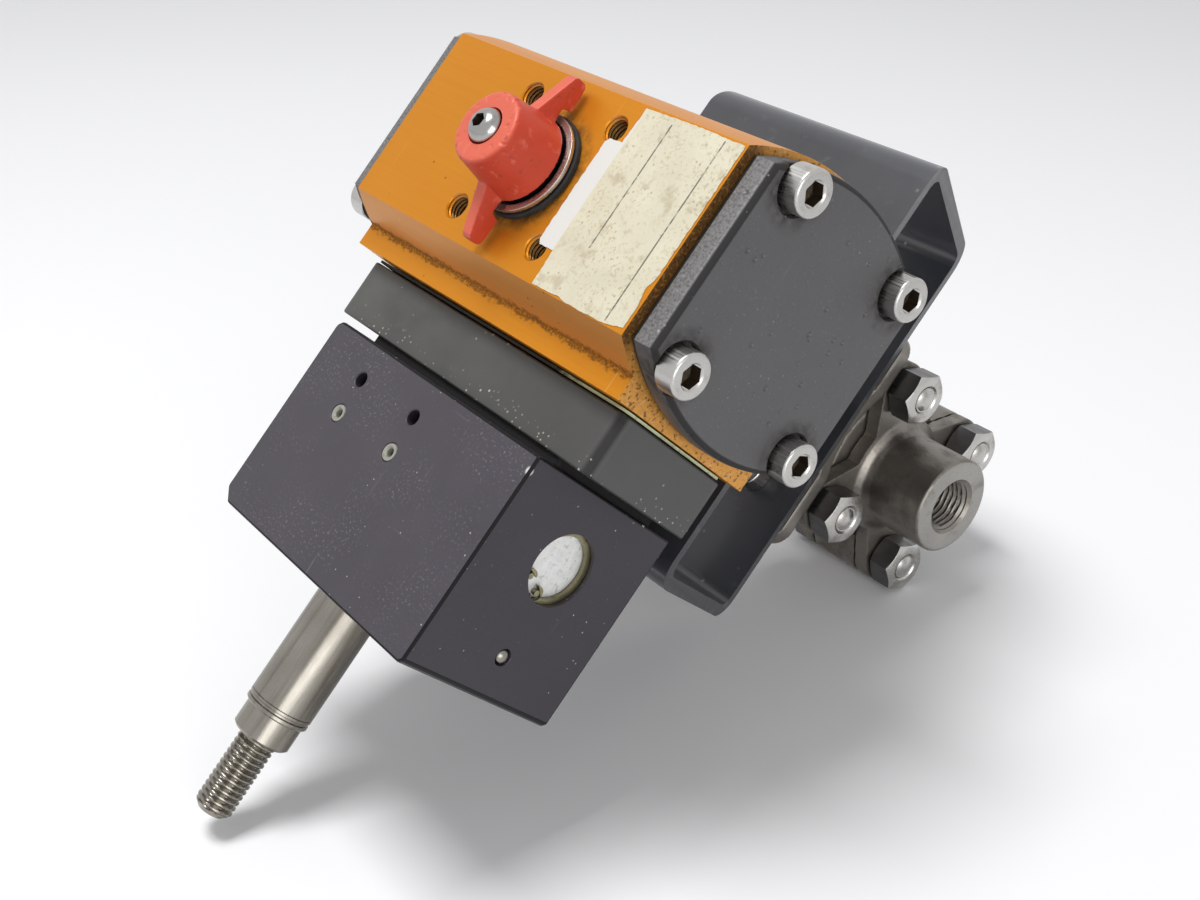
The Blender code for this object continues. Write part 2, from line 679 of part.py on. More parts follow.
def make_pinion():
    gear_low = BARREL_MID - PINION_FACE / 2
    pinion = slab("pinion", [gear_outline()], PINION_FACE, (0, 0, gear_low))
    groove_r = TOP_JOURNAL_R - SNAP_GROOVE_DEPTH
    groove_low = SNAP_RING_LOW - SEAT_GAP
    groove_top = SNAP_RING_LOW + SNAP_RING_THICKNESS + SEAT_GAP / 2
    shank_r = PITCH_R - GEAR_MODULE - 2 * TOOTH_CLEARANCE
    overlap = PINION_FACE / 4
    upper = [(0, PINION_TOP), (TOP_JOURNAL_R, PINION_TOP), (TOP_JOURNAL_R, groove_top)]
    upper += [(groove_r, groove_top), (groove_r, groove_low), (TOP_JOURNAL_R, groove_low)]
    upper += [(TOP_JOURNAL_R, BARREL_MID + PINION_FACE / 2), (shank_r, BARREL_MID + PINION_FACE / 2)]
    upper += [(shank_r, BARREL_MID + overlap), (0, BARREL_MID + overlap)]
    lower = [(0, BARREL_MID), (shank_r, BARREL_MID), (shank_r, gear_low + TOOTH_CLEARANCE)]
    lower += [(LOWER_JOURNAL_R, gear_low + TOOTH_CLEARANCE), (LOWER_JOURNAL_R, PINION_LOW), (0, PINION_LOW)]
    join(pinion, turned("upper_journal", upper), turned("lower_journal", lower))
    half = COUPLING_SQUARE / 2 + RUNNING_GAP
    low = (-half, -half, PINION_LOW - OVER)
    cut(pinion, box("square_socket", low, (half, half, PINION_LOW + PINION_SOCKET_DEPTH)))
    hole_depth = KNOB_SCREW_REACH + SEAT_GAP
    cut(pinion, drill(KNOB_SCREW_R + HOLE_GAP, hole_depth, (0, 0, PINION_TOP), UP))
    dress(pinion, BLACK_STEEL)


def make_bearings():
    top_low = BARREL_TOP - SEAT_GAP - BEARING_LENGTH
    inner = TOP_JOURNAL_R + RUNNING_GAP
    top = ring("pinion_bearing_top", inner, TOP_BEARING_R, BEARING_LENGTH, (0, 0, top_low), UP, FINE)
    inner = LOWER_JOURNAL_R + RUNNING_GAP
    low = (0, 0, BARREL_LOW + SEAT_GAP)
    lower = ring("pinion_bearing_bottom", inner, LOWER_BEARING_R, BEARING_LENGTH, low, UP, FINE)
    dress(top, BLACK_RUBBER)
    dress(lower, BLACK_RUBBER)


def make_washer_and_snap_ring():
    inner = TOP_JOURNAL_R + RUNNING_GAP
    washer = ring("thrust_washer", inner, WASHER_R, WASHER_THICKNESS, (0, 0, WASHER_LOW), UP, FINE)
    dress(washer, BLACK_RUBBER)
    inner = TOP_JOURNAL_R - SNAP_GROOVE_DEPTH + SEAT_GAP
    start, end = 180 + SNAP_RING_GAP / 2, 540 - SNAP_RING_GAP / 2
    outline = arc((0, 0), SNAP_RING_R, start, end, MEDIUM) + arc((0, 0), inner, end, start, MEDIUM)
    snap_ring = slab("snap_ring", [outline], SNAP_RING_THICKNESS, (0, 0, SNAP_RING_LOW))
    dress(snap_ring, ZINC)


def rack_space_outline(x):
    """One space between two teeth of the left piston's rack, as (x, y), open towards the pinion."""
    tip_y = PITCH_R - GEAR_MODULE
    root_y = PITCH_R + GEAR_MODULE + TOOTH_CLEARANCE
    slope = math.tan(PRESSURE_ANGLE)
    half = PITCH / 4 + FLANK_GAP / 2
    mouth_half = half + (GEAR_MODULE + OVER) * slope
    root_half = half - (GEAR_MODULE + TOOTH_CLEARANCE) * slope
    points = [(x - root_half, root_y), (x - mouth_half, tip_y - OVER)]
    return points + [(x + mouth_half, tip_y - OVER), (x + root_half, root_y)]


def make_rack():
    """Arm of the left piston, with a tooth in the middle of the pinion."""
    tip_y = PITCH_R - GEAR_MODULE
    root_y = PITCH_R + GEAR_MODULE + TOOTH_CLEARANCE
    half_face = RACK_FACE / 2
    end_x = PISTON_INNER_X - RACK_TIP_SPACE
    start_x = -PISTON_INNER_X - (PISTON_THICKNESS - PISTON_SEAL_WIDTH) / 4
    arm = box("piston_left", (start_x, tip_y, -half_face), (end_x, RACK_BACK_Y, half_face))
    width = RACK_FACE + 2 * OVER
    first_x = -(RACK_TEETH_BEFORE + 0.5) * PITCH
    plain_low = (start_x - OVER, tip_y - OVER, -width / 2)
    cut(arm, box("plain_stretch", plain_low, (first_x, root_y, width / 2)))
    for space in range(-RACK_TEETH_BEFORE - 1, RACK_TEETH_AFTER + 1):
        outline = rack_space_outline((space + 0.5) * PITCH)
        cut(arm, slab("tooth_space", [outline], width, (0, 0, -width / 2)))
    return settle(arm)


def piston_head_profile():
    """Piston head about its axis, from its outer face down to its inner face."""
    head_r = CYLINDER_R - PISTON_GAP
    groove_r = head_r - PISTON_SEAL_DEPTH - SEAT_GAP
    half_groove = PISTON_SEAL_WIDTH / 2 + SEAT_GAP
    middle = PISTON_THICKNESS / 2
    dish_r = head_r * 0.6
    dish = PISTON_THICKNESS * 0.25
    profile = [(0, PISTON_THICKNESS - dish), (dish_r, PISTON_THICKNESS - dish)]
    profile += [(dish_r, PISTON_THICKNESS), (head_r, PISTON_THICKNESS), (head_r, middle + half_groove)]
    profile += [(groove_r, middle + half_groove), (groove_r, middle - half_groove)]
    profile += [(head_r, middle - half_groove), (head_r, 0), (0, 0)]
    return profile


def make_pistons():
    head = turned("head", piston_head_profile(), (-PISTON_INNER_X, 0, 0), MINUS_X, FINE)
    left = make_rack()
    join(left, head)
    settle(left)
    left.location = (0, 0, BARREL_MID)
    dress(left, ALUMINIUM)
    copy_of(left, "piston_right", (0, 0, BARREL_MID), (0, 0, math.pi))
    outer = CYLINDER_R - SEAL_GAP
    inner = CYLINDER_R - PISTON_GAP - PISTON_SEAL_DEPTH
    offset = PISTON_INNER_X + PISTON_THICKNESS / 2 - PISTON_SEAL_WIDTH / 2
    for name, side, direction in (("left", -1, MINUS_X), ("right", 1, PLUS_X)):
        place = (side * offset, 0, BARREL_MID)
        seal = ring("piston_seal_" + name, inner, outer, PISTON_SEAL_WIDTH, place, direction, FINE)
        dress(seal, BLACK_RUBBER)


def wing_outline():
    """Side view of one wing of the knob, as (y, z) from the knob's foot."""
    root = KNOB_TOP_R * 0.6
    shoulder = WING_SHOULDER_RISE
    tip = WING_TIP_Y
    soft = tip * 0.04
    points = [(root, 0.0002), (WING_NOTCH_Y, 0.0002), (WING_NOTCH_Y + soft, -WING_TIP_DROP)]
    points += [(tip - soft, -WING_TIP_DROP), (tip, -WING_TIP_DROP + soft), (tip, WING_TIP_RISE - soft)]
    points += [(tip - soft, WING_TIP_RISE), (WING_SHOULDER_Y, shoulder), (root, shoulder)]
    return points


def make_wing():
    """One wing along +Y, thinner towards its tip, with a softened ridge."""
    wing = slab("wing", [wing_outline()], 2 * WING_ROOT_HALF_THICKNESS, (0, 0, 0))
    shape = bmesh.new()
    shape.from_mesh(wing.data)
    for vertex in shape.verts:
        share = min(max(vertex.co.x / WING_TIP_Y, 0), 1)
        thin = WING_TIP_HALF_THICKNESS / WING_ROOT_HALF_THICKNESS
        vertex.co.z = (vertex.co.z - WING_ROOT_HALF_THICKNESS) * (1 - share * (1 - thin))
    shape.to_mesh(wing.data)
    shape.free()
    soften = wing.modifiers.new("Soften", "BEVEL")
    soften.width = 0.0006
    soften.segments = 1
    soften.limit_method = "ANGLE"
    soften.angle_limit = math.radians(60)
    return settle(wing)


def make_knob():
    top = KNOB_HEIGHT
    soft = KNOB_ROUNDING
    edge = arc((KNOB_TOP_R - soft, top - soft), soft, 90, 10, 3)
    profile = [(0, top - KNOB_RECESS_DEPTH), (KNOB_RECESS_R, top - KNOB_RECESS_DEPTH)]
    profile += [(KNOB_RECESS_R, top)] + edge + [(KNOB_FOOT_R, 0), (0, 0)]
    knob = turned("indicator_knob", profile, steps=FINE)
    wing = make_wing()
    for turn in (math.pi / 2, -math.pi / 2):
        blade = copy_of(wing, "blade", (0, 0, 0), (math.pi / 2, 0, turn))
        combine(knob, [blade], "UNION", solver="MANIFOLD")
    bpy.data.objects.remove(wing)
    cut(knob, rod("knob_hole", KNOB_SCREW_R + HOLE_GAP, KNOB_HEIGHT * 2, (0, 0, -OVER), UP, SMALL))
    settle(knob)
    knob.location = (0, 0, KNOB_LOW)
    dress(knob, KNOB_RED)


def make_knob_screw():
    seat = KNOB_TOP - KNOB_RECESS_DEPTH + SEAT_GAP
    reach = seat - PINION_TOP + KNOB_SCREW_REACH
    crown = KNOB_SCREW_HEAD_HEIGHT
    head_r = KNOB_SCREW_HEAD_R
    flat_r = head_r * 0.45
    profile = [(0, crown), (flat_r, crown), (head_r * 0.82, crown * 0.8), (head_r, crown * 0.42), (head_r, 0)]
    profile += [(KNOB_SCREW_R, 0), (KNOB_SCREW_R, -reach), (0, -reach)]
    screw = turned("knob_screw", profile, (0, 0, seat), UP, COARSE)
    socket_depth = crown * 0.5
    place = (0, 0, seat + crown - socket_depth)
    cut(screw, hexagon("socket", KNOB_SCREW_SOCKET, socket_depth * 2, place))
    dress(screw, ZINC)


def adapter_screw_places():
    """Two screws on a diagonal, hidden below the pilot valve, as (x, z)."""
    return [(-ADAPTER_SCREW_X, BARREL_MID + ADAPTER_SCREW_Z), (ADAPTER_SCREW_X, BARREL_MID - ADAPTER_SCREW_Z)]


def adapter_screw_grip():
    """Thread depth in the wall between the pad and the cylinder."""
    return (PAD_FACE_Y - math.sqrt(CYLINDER_R ** 2 - ADAPTER_SCREW_Z ** 2)) * 0.7


def block_screw_places():
    """Two screws on the other diagonal, as (x, z)."""
    return [(-BLOCK_SCREW_X, BARREL_MID - BLOCK_SCREW_Z), (BLOCK_SCREW_X, BARREL_MID + BLOCK_SCREW_Z)]


def port_holes(radius):
    return [circle(radius, (x, 0)) for x in (-AIR_PORT_X, AIR_PORT_X)]


def make_port_gasket():
    low = (ADAPTER_MIN_X + GASKET_INSET, -ADAPTER_HALF_HEIGHT + GASKET_INSET)
    high = (ADAPTER_MAX_X - GASKET_INSET, ADAPTER_HALF_HEIGHT - GASKET_INSET)
    outlines = [rounded_rectangle(low, high, ADAPTER_CORNER_R - GASKET_INSET)] + port_holes(AIR_PORT_R)
    for x, z in adapter_screw_places():
        outlines.append(circle(CAP_SCREW_R + HOLE_GAP, (x, z - BARREL_MID)))
    place = (0, PORT_GASKET_Y, BARREL_MID)
    gasket = slab("port_gasket", outlines, PORT_GASKET_THICKNESS, place, ACROSS_Y)
    dress(gasket, GREEN_GASKET)


def make_adapter():
    low = (ADAPTER_MIN_X, -ADAPTER_HALF_HEIGHT)
    high = (ADAPTER_MAX_X, ADAPTER_HALF_HEIGHT)
    place = (0, ADAPTER_Y, BARREL_MID)
    outline = rounded_rectangle(low, high, ADAPTER_CORNER_R)
    adapter = slab("adapter_plate", [outline], ADAPTER_THICKNESS, place, ACROSS_Y)
    face_y = ADAPTER_Y - ADAPTER_THICKNESS
    for x in (-AIR_PORT_X, AIR_PORT_X):
        start = (x, ADAPTER_Y + OVER, BARREL_MID)
        cut(adapter, rod("air_way", AIR_PORT_R, ADAPTER_THICKNESS + 2 * OVER, start, MINUS_Y, SMALL))
    head_depth = CAP_SCREW_HEAD_HEIGHT + 2 * SEAT_GAP
    head = (CAP_SCREW_HEAD_R + HOLE_GAP, head_depth)
    hole = (CAP_SCREW_R + HOLE_GAP, ADAPTER_THICKNESS + OVER)
    for x, z in adapter_screw_places():
        cut(adapter, stepped_drill(*head, *hole, (x, face_y, z), MINUS_Y, COARSE))
    for x, z in block_screw_places():
        cut(adapter, drill(BLOCK_SCREW_R + HOLE_GAP, ADAPTER_THICKNESS * 0.7, (x, face_y, z), MINUS_Y))
    dress(adapter, CAST_DARK)
    make_adapter_screws(face_y + head_depth - SEAT_GAP)


def make_adapter_screws(seat_y):
    reach = adapter_screw_grip() - PAD_FACE_Y - seat_y
    sizes = (CAP_SCREW_HEAD_R, CAP_SCREW_HEAD_HEIGHT, CAP_SCREW_SOCKET, CAP_SCREW_SOCKET_DEPTH)
    first = socket_screw("adapter_screw", CAP_SCREW_R, reach, *sizes, steps=SMALL)
    dress(first, BLACK_STEEL)
    for index, (x, z) in enumerate(adapter_screw_places()):
        copy_of(first, "adapter_screw_%d" % (index + 1), (x, seat_y, z), MINUS_Y)
    bpy.data.objects.remove(first)


def make_interface_gasket():
    side = INTERFACE_GASKET_SIDE_INSET
    half = ADAPTER_HALF_HEIGHT - side
    low = (BLOCK_MIN_X + INTERFACE_GASKET_END_INSET, -half)
    high = (BLOCK_MAX_X - side, half)
    outlines = [rounded_rectangle(low, high, side)] + port_holes(AIR_PORT_R)
    for x, z in block_screw_places():
        outlines.append(circle(BLOCK_SCREW_R + HOLE_GAP, (x, z - BARREL_MID)))
    place = (0, INTERFACE_Y, BARREL_MID)
    gasket = slab("interface_gasket", outlines, INTERFACE_GASKET_THICKNESS, place, ACROSS_Y)
    dress(gasket, BLACK_RUBBER)


def block_outline():
    """Plan of the block, as (x, y), with a chamfer of its own on each worn or machined corner."""
    x0, x1, y0, y1 = BLOCK_MIN_X, BLOCK_MAX_X, BLOCK_END_Y, BLOCK_Y
    points = [(x1, y1), (x0 + BLOCK_NEAR_CHAMFER, y1), (x0, y1 - BLOCK_NEAR_CHAMFER)]
    points += [(x0, y0 + BLOCK_FAR_CHAMFER), (x0 + BLOCK_FAR_CHAMFER, y0)]
    return points + [(x1 - BLOCK_FRONT_CHAMFER, y0), (x1, y0 + BLOCK_FRONT_CHAMFER)]


def make_block():
    low_z = BARREL_MID - BLOCK_HALF_HEIGHT
    block = slab("solenoid_block", [block_outline()], 2 * BLOCK_HALF_HEIGHT, (0, 0, low_z))
    mouth = (BLOCK_MAX_X, SPOOL_Y, BARREL_MID)
    plug_depth = SPOOL_PLUG_RECESS + SPOOL_PLUG_LENGTH + SEAT_GAP
    bore_depth = plug_depth + SPOOL_LENGTH + SPOOL_STROKE + 2 * SEAT_GAP
    mouth_r = SPOOL_PLUG_R + SEAT_GAP
    groove_r = mouth_r + CIRCLIP_WIDTH / 2
    groove_top = -CIRCLIP_RECESS + SEAT_GAP / 2
    groove_low = -CIRCLIP_RECESS - CIRCLIP_THICKNESS - SEAT_GAP / 2
    profile = [(0, OVER), (mouth_r, OVER), (mouth_r, groove_top), (groove_r, groove_top)]
    profile += [(groove_r, groove_low), (mouth_r, groove_low), (mouth_r, -plug_depth)]
    profile += [(SPOOL_BORE_R, -plug_depth), (SPOOL_BORE_R, -bore_depth), (0, -bore_depth)]
    cut(block, turned("spool_bore", profile, mouth, PLUS_X, MEDIUM))
    ball_mouth = (BLOCK_MAX_X, BLOCK_Y - BALL_PLUG_SETBACK, BARREL_MID)
    cut(block, drill(BALL_PLUG_R + HOLE_GAP, 2.4 * BALL_PLUG_R, ball_mouth, PLUS_X))
    top_z = BARREL_MID + BLOCK_HALF_HEIGHT
    for x in (UPPER_HOLE_FIRST_X, UPPER_HOLE_SECOND_X):
        plain = (x, BLOCK_Y - UPPER_HOLE_SETBACK, top_z)
        cut(block, drill(UPPER_HOLE_R, UPPER_HOLE_DEPTH, plain, UP))
        vent = (VENT_INSERT_R + HOLE_GAP, VENT_INSERT_LENGTH + 2 * SEAT_GAP, VENT_INSERT_HOLE_R)
        cut(block, stepped_drill(*vent, BLOCK_HALF_HEIGHT, (x, SPOOL_Y, top_z), UP, SMALL))
    for x in (-AIR_PORT_X, AIR_PORT_X):
        cut(block, drill(AIR_PORT_R, SPOOL_SETBACK, (x, BLOCK_Y, BARREL_MID), PLUS_Y))
    tube_mouth = (TUBE_X, BLOCK_END_Y, BARREL_MID)
    socket = (TUBE_R + HOLE_GAP, TUBE_SOCKET_DEPTH + SEAT_GAP)
    pilot_depth = BLOCK_DEPTH - SPOOL_SETBACK
    cut(block, stepped_drill(*socket, UPPER_HOLE_R, pilot_depth, tube_mouth, MINUS_Y))
    for x, z in block_screw_places():
        head = (BLOCK_SCREW_HEAD_R + HOLE_GAP, BLOCK_SCREW_HEAD_HEIGHT + SEAT_GAP)
        hole = (BLOCK_SCREW_R + HOLE_GAP, BLOCK_DEPTH + OVER)
        cut(block, stepped_drill(*head, *hole, (x, BLOCK_END_Y, z), MINUS_Y, SMALL))
    dress(block, BLOCK_DARK)


def make_block_screws():
    seat_y = BLOCK_END_Y + BLOCK_SCREW_HEAD_HEIGHT
    reach = BLOCK_DEPTH - BLOCK_SCREW_HEAD_HEIGHT + INTERFACE_GASKET_THICKNESS + ADAPTER_THICKNESS * 0.6
    head = (BLOCK_SCREW_HEAD_R, BLOCK_SCREW_HEAD_HEIGHT)
    socket = (BLOCK_SCREW_HEAD_R * 0.9, BLOCK_SCREW_HEAD_HEIGHT * 0.5)
    first = socket_screw("block_screw", BLOCK_SCREW_R, reach, *head, *socket, steps=SMALL)
    dress(first, ZINC)
    for index, (x, z) in enumerate(block_screw_places()):
        copy_of(first, "block_screw_%d" % (index + 1), (x, seat_y, z), MINUS_Y)
    bpy.data.objects.remove(first)


def make_spool():
    """Spool along +X with three lands, at the inner end of its stroke."""
    bore_depth = SPOOL_PLUG_RECESS + SPOOL_PLUG_LENGTH + SEAT_GAP + SPOOL_LENGTH + SPOOL_STROKE
    start = BLOCK_MAX_X - bore_depth - SEAT_GAP
    land_r = SPOOL_BORE_R - SEAT_GAP
    pitch = (SPOOL_LENGTH - SPOOL_LAND_WIDTH) / 2
    profile = [(0, SPOOL_LENGTH)]
    for land in (2, 1, 0):
        low = land * pitch
        if land < 2:
            profile.append((SPOOL_NECK_R, low + SPOOL_LAND_WIDTH))
        profile += [(land_r, low + SPOOL_LAND_WIDTH), (land_r, low)]
        if land > 0:
            profile.append((SPOOL_NECK_R, low))
    profile.append((0, 0))
    spool = turned("spool", profile, (start, SPOOL_Y, BARREL_MID), PLUS_X, SMALL)
    dress(spool, ALUMINIUM)


def make_spool_plug():
    """Plug with a groove for its ring and a tapped hole to pull it out by."""
    start = BLOCK_MAX_X - SPOOL_PLUG_RECESS - SPOOL_PLUG_LENGTH
    groove = SPOOL_PLUG_R * 0.14
    low, high = SPOOL_PLUG_LENGTH * 0.3, SPOOL_PLUG_LENGTH * 0.6
    hole_r, hole_floor = SPOOL_PLUG_R * 0.2, SPOOL_PLUG_LENGTH * 0.4
    profile = [(0, hole_floor), (hole_r, hole_floor), (hole_r, SPOOL_PLUG_LENGTH)]
    profile += [(SPOOL_PLUG_R, SPOOL_PLUG_LENGTH), (SPOOL_PLUG_R, high), (SPOOL_PLUG_R - groove, high)]
    profile += [(SPOOL_PLUG_R - groove, low), (SPOOL_PLUG_R, low), (SPOOL_PLUG_R, 0), (0, 0)]
    plug = turned("spool_plug", profile, (start, SPOOL_Y, BARREL_MID), PLUS_X)
    dress(plug, ALUMINIUM)


def ear_centre(inner, ear_r, angle):
    """Middle of one of the circlip's ears, just inside its inner edge."""
    reach = inner - ear_r * 0.35
    turn = math.radians(angle)
    return (reach * math.cos(turn), reach * math.sin(turn))


def make_circlip():
    """Retaining ring with two drilled ears, open towards -Y and +Z."""
    outer = SPOOL_PLUG_R + SEAT_GAP + CIRCLIP_WIDTH / 2 - SEAT_GAP
    inner = outer - CIRCLIP_WIDTH
    open_half = 22
    towards = 150
    start, end = towards + open_half, towards + 360 - open_half
    ear_r = CIRCLIP_WIDTH * 1.1
    ear_span = 16
    last_ear = ear_centre(inner, ear_r, end)
    first_ear = ear_centre(inner, ear_r, start)
    outline = arc((0, 0), outer, start, end, MEDIUM)
    outline += arc(last_ear, ear_r, end + 60, end - 210, 6)
    outline += arc((0, 0), inner, end - ear_span, start + ear_span, MEDIUM)
    outline += arc(first_ear, ear_r, start + 210, start - 60, 6)
    place = (BLOCK_MAX_X - CIRCLIP_RECESS - CIRCLIP_THICKNESS, SPOOL_Y, BARREL_MID)
    clip = slab("bore_circlip", [outline], CIRCLIP_THICKNESS, place, ACROSS_X)
    dress(clip, KHAKI)


def make_ball_plug():
    mesh = bpy.data.meshes.new("ball_plug")
    shape = bmesh.new()
    bmesh.ops.create_uvsphere(shape, u_segments=SMALL, v_segments=8, radius=BALL_PLUG_R)
    shape.to_mesh(mesh)
    shape.free()
    place = (BLOCK_MAX_X - BALL_PLUG_R * 0.8, BLOCK_Y - BALL_PLUG_SETBACK, BARREL_MID)
    dress(add_object("ball_plug", mesh, place, PLUS_X), STAINLESS)


def make_vent_inserts():
    low = BARREL_MID + BLOCK_HALF_HEIGHT - VENT_INSERT_LENGTH
    for index, x in enumerate((UPPER_HOLE_FIRST_X, UPPER_HOLE_SECOND_X)):
        place = (x, SPOOL_Y, low)
        name = "vent_insert_%d" % (index + 1)
        insert = ring(name, VENT_INSERT_HOLE_R, VENT_INSERT_R, VENT_INSERT_LENGTH, place, UP, SMALL)
        dress(insert, WHITE_PLASTIC)


def armature_bore_end():
    """Depth of the tube's bore, measured outwards from the block's face."""
    return ARMATURE_LENGTH - ARMATURE_TIP_LENGTH + SPRING_LENGTH


def make_armature_tube():
    """Tube along -Y with one end in the block, a collar and a threaded end."""
    tip = TUBE_LENGTH + TUBE_COLLAR_LENGTH + TUBE_THREAD_LENGTH
    collar_top = TUBE_LENGTH + TUBE_COLLAR_LENGTH
    chamfer = TUBE_THREAD_R * 0.3
    groove = 0.0004
    bore_r = ARMATURE_R + HOLE_GAP
    bore_end = armature_bore_end()
    profile = [(0, tip), (TUBE_THREAD_R - chamfer, tip), (TUBE_THREAD_R, tip - chamfer)]
    profile += [(TUBE_THREAD_R, collar_top), (TUBE_COLLAR_R - groove, collar_top)]
    profile += [(TUBE_COLLAR_R, collar_top - groove), (TUBE_COLLAR_R, TUBE_LENGTH)]
    profile += [(TUBE_R, TUBE_LENGTH), (TUBE_R, TUBE_LENGTH - 2 * groove)]
    profile += [(TUBE_R - groove, TUBE_LENGTH - 3 * groove), (TUBE_R, TUBE_LENGTH - 4 * groove)]
    profile += [(TUBE_R, -TUBE_SOCKET_DEPTH), (bore_r, -TUBE_SOCKET_DEPTH), (bore_r, bore_end), (0, bore_end)]
    place = (TUBE_X, BLOCK_END_Y, BARREL_MID)
    dress(turned("armature_tube", profile, place, MINUS_Y), STAINLESS)


def make_armature():
    tip_r = UPPER_HOLE_R * 1.4
    body_start = ARMATURE_TIP_LENGTH
    profile = [(0, ARMATURE_LENGTH), (ARMATURE_R, ARMATURE_LENGTH), (ARMATURE_R, body_start)]
    profile += [(tip_r, body_start), (tip_r, 0), (0, 0)]
    place = (TUBE_X, BLOCK_END_Y + ARMATURE_TIP_LENGTH, BARREL_MID)
    dress(turned("armature", profile, place, MINUS_Y, SMALL), STAINLESS)


def make_armature_spring():
    """Compression spring between the armature and the closed end of the tube."""
    coil_r = ARMATURE_R - 3 * SPRING_WIRE_R
    first = ARMATURE_LENGTH - ARMATURE_TIP_LENGTH + SEAT_GAP + SPRING_WIRE_R
    last = armature_bore_end() - SEAT_GAP - SPRING_WIRE_R
    count = round(SPRING_TURNS * SMALL)
    curve = bpy.data.curves.new("armature_spring", "CURVE")
    curve.dimensions = "3D"
    curve.bevel_depth = SPRING_WIRE_R
    curve.bevel_resolution = 0
    curve.use_fill_caps = True
    spline = curve.splines.new("POLY")
    spline.points.add(count)
    for index in range(count + 1):
        turn = 2 * math.pi * SPRING_TURNS * index / count
        height = first + (last - first) * index / count
        spline.points[index].co = (coil_r * math.cos(turn), coil_r * math.sin(turn), height, 1)
    guide = add_object("spring_wire", curve)
    mesh = evaluated_mesh(guide)
    bpy.data.objects.remove(guide)
    shape = bmesh.new()
    shape.from_mesh(mesh)
    bmesh.ops.remove_doubles(shape, verts=shape.verts, dist=SAME_PLACE)
    bmesh.ops.recalc_face_normals(shape, faces=shape.faces)
    shape.to_mesh(mesh)
    shape.free()
    place = (TUBE_X, BLOCK_END_Y, BARREL_MID)
    dress(add_object("armature_spring", mesh, place, MINUS_Y), STAINLESS)


def slanted_cutter(side):
    """Wedge that saws one end of the bracket, longer at the top than at the foot."""
    slope = (BRACKET_TOP_HALF_LENGTH - BRACKET_FOOT_HALF_LENGTH) / BRACKET_HEIGHT
    over = 0.005
    top_x = BRACKET_TOP_HALF_LENGTH + slope * over
    foot_x = BRACKET_FOOT_HALF_LENGTH - slope * over
    far_x = top_x + over
    outline = [(side * top_x, BRACKET_TOP + over), (side * foot_x, BRACKET_LOW - over)]
    outline += [(side * far_x, BRACKET_LOW - over), (side * far_x, BRACKET_TOP + over)]
    width = BRACKET_WIDTH + 4 * over
    return slab("saw_cut", [outline], width, (0, width / 2, 0), ACROSS_Y)


def make_bracket():
    half_y, half_z = BRACKET_WIDTH / 2, BRACKET_HEIGHT / 2
    outer = rounded_rectangle((-half_y, -half_z), (half_y, half_z), BRACKET_CORNER_R, 4)
    in_y, in_z = half_y - BRACKET_WALL, half_z - BRACKET_WALL
    inner = rounded_rectangle((-in_y, -in_z), (in_y, in_z), BRACKET_CORNER_R - BRACKET_WALL, 4)
    length = 2 * BRACKET_TOP_HALF_LENGTH
    place = (-length / 2, BRACKET_SHIFT_Y, BRACKET_LOW + half_z)
    bracket = slab("bracket", [outer, inner], length, place, ACROSS_X)
    cut(bracket, slanted_cutter(1), slanted_cutter(-1))
    wall_under = BRACKET_TOP - BRACKET_WALL
    hole_r = COUPLING_R + HOLE_GAP
    low = (0, 0, wall_under - OVER)
    cut(bracket, rod("coupling_hole", hole_r, BRACKET_WALL + 2 * OVER, low, UP))
    hole_r = GLAND_FLATS / math.sqrt(3) + 3 * HOLE_GAP
    low = (0, 0, BRACKET_LOW - OVER)
    cut(bracket, rod("gland_hole", hole_r, BRACKET_WALL + 2 * OVER, low, UP))
    head = (BRACKET_BOLT_HEAD_R, BRACKET_BOLT_HEAD_HEIGHT)
    reach = BRACKET_WALL + TOP_HOLE_DEPTH
    upper = plain_screw("upper_screw", BRACKET_BOLT_R, reach, *head)
    for x, y in corners(TOP_HOLE_SPACING / 2, TOP_HOLE_SPACING / 2):
        join(bracket, copy_of(upper, "upper_screw_copy", (x, y, wall_under), DOWN))
    bpy.data.objects.remove(upper)
    reach = BRACKET_WALL + SEAT_GAP + PAD_THICKNESS
    lower = plain_screw("lower_screw", BRACKET_BOLT_R, reach, *head)
    for y in (-BRACKET_BOLT_Y, BRACKET_BOLT_Y):
        join(bracket, copy_of(lower, "lower_screw_copy", (0, y, BRACKET_LOW + BRACKET_WALL), UP))
    bpy.data.objects.remove(lower)
    dress(bracket, BLACK_PAINT)


def make_coupling():
    """Shaft that joins the pinion's square socket to the square of the valve stem."""
    low = BRACKET_LOW + BRACKET_WALL + COUPLING_RAISE
    height = BARREL_LOW - low
    edge = COUPLING_EDGE
    profile = [(0, height), (COUPLING_R - edge, height), (COUPLING_R, height - edge), (COUPLING_R, edge)]
    profile += [(COUPLING_R - edge, 0), (0, 0)]
    coupling = turned("stem_coupling", profile, (0, 0, low))
    half = COUPLING_SQUARE / 2
    top = PINION_LOW + PINION_SOCKET_DEPTH - 2 * SEAT_GAP
    join(coupling, box("square_end", (-half, -half, BARREL_LOW - 4 * OVER), (half, half, top)))
    half = STEM_SQUARE / 2 + RUNNING_GAP
    stem_top = stem_square_low() + STEM_SQUARE_HEIGHT
    cut(coupling, box("stem_socket", (-half, -half, low - OVER), (half, half, stem_top + SEAT_GAP)))
    dress(coupling, BLACK_STEEL)


def stem_square_low():
    return PIPE_TO_PAD + SEAT_GAP + GLAND_HEAD_HEIGHT + SEAT_GAP


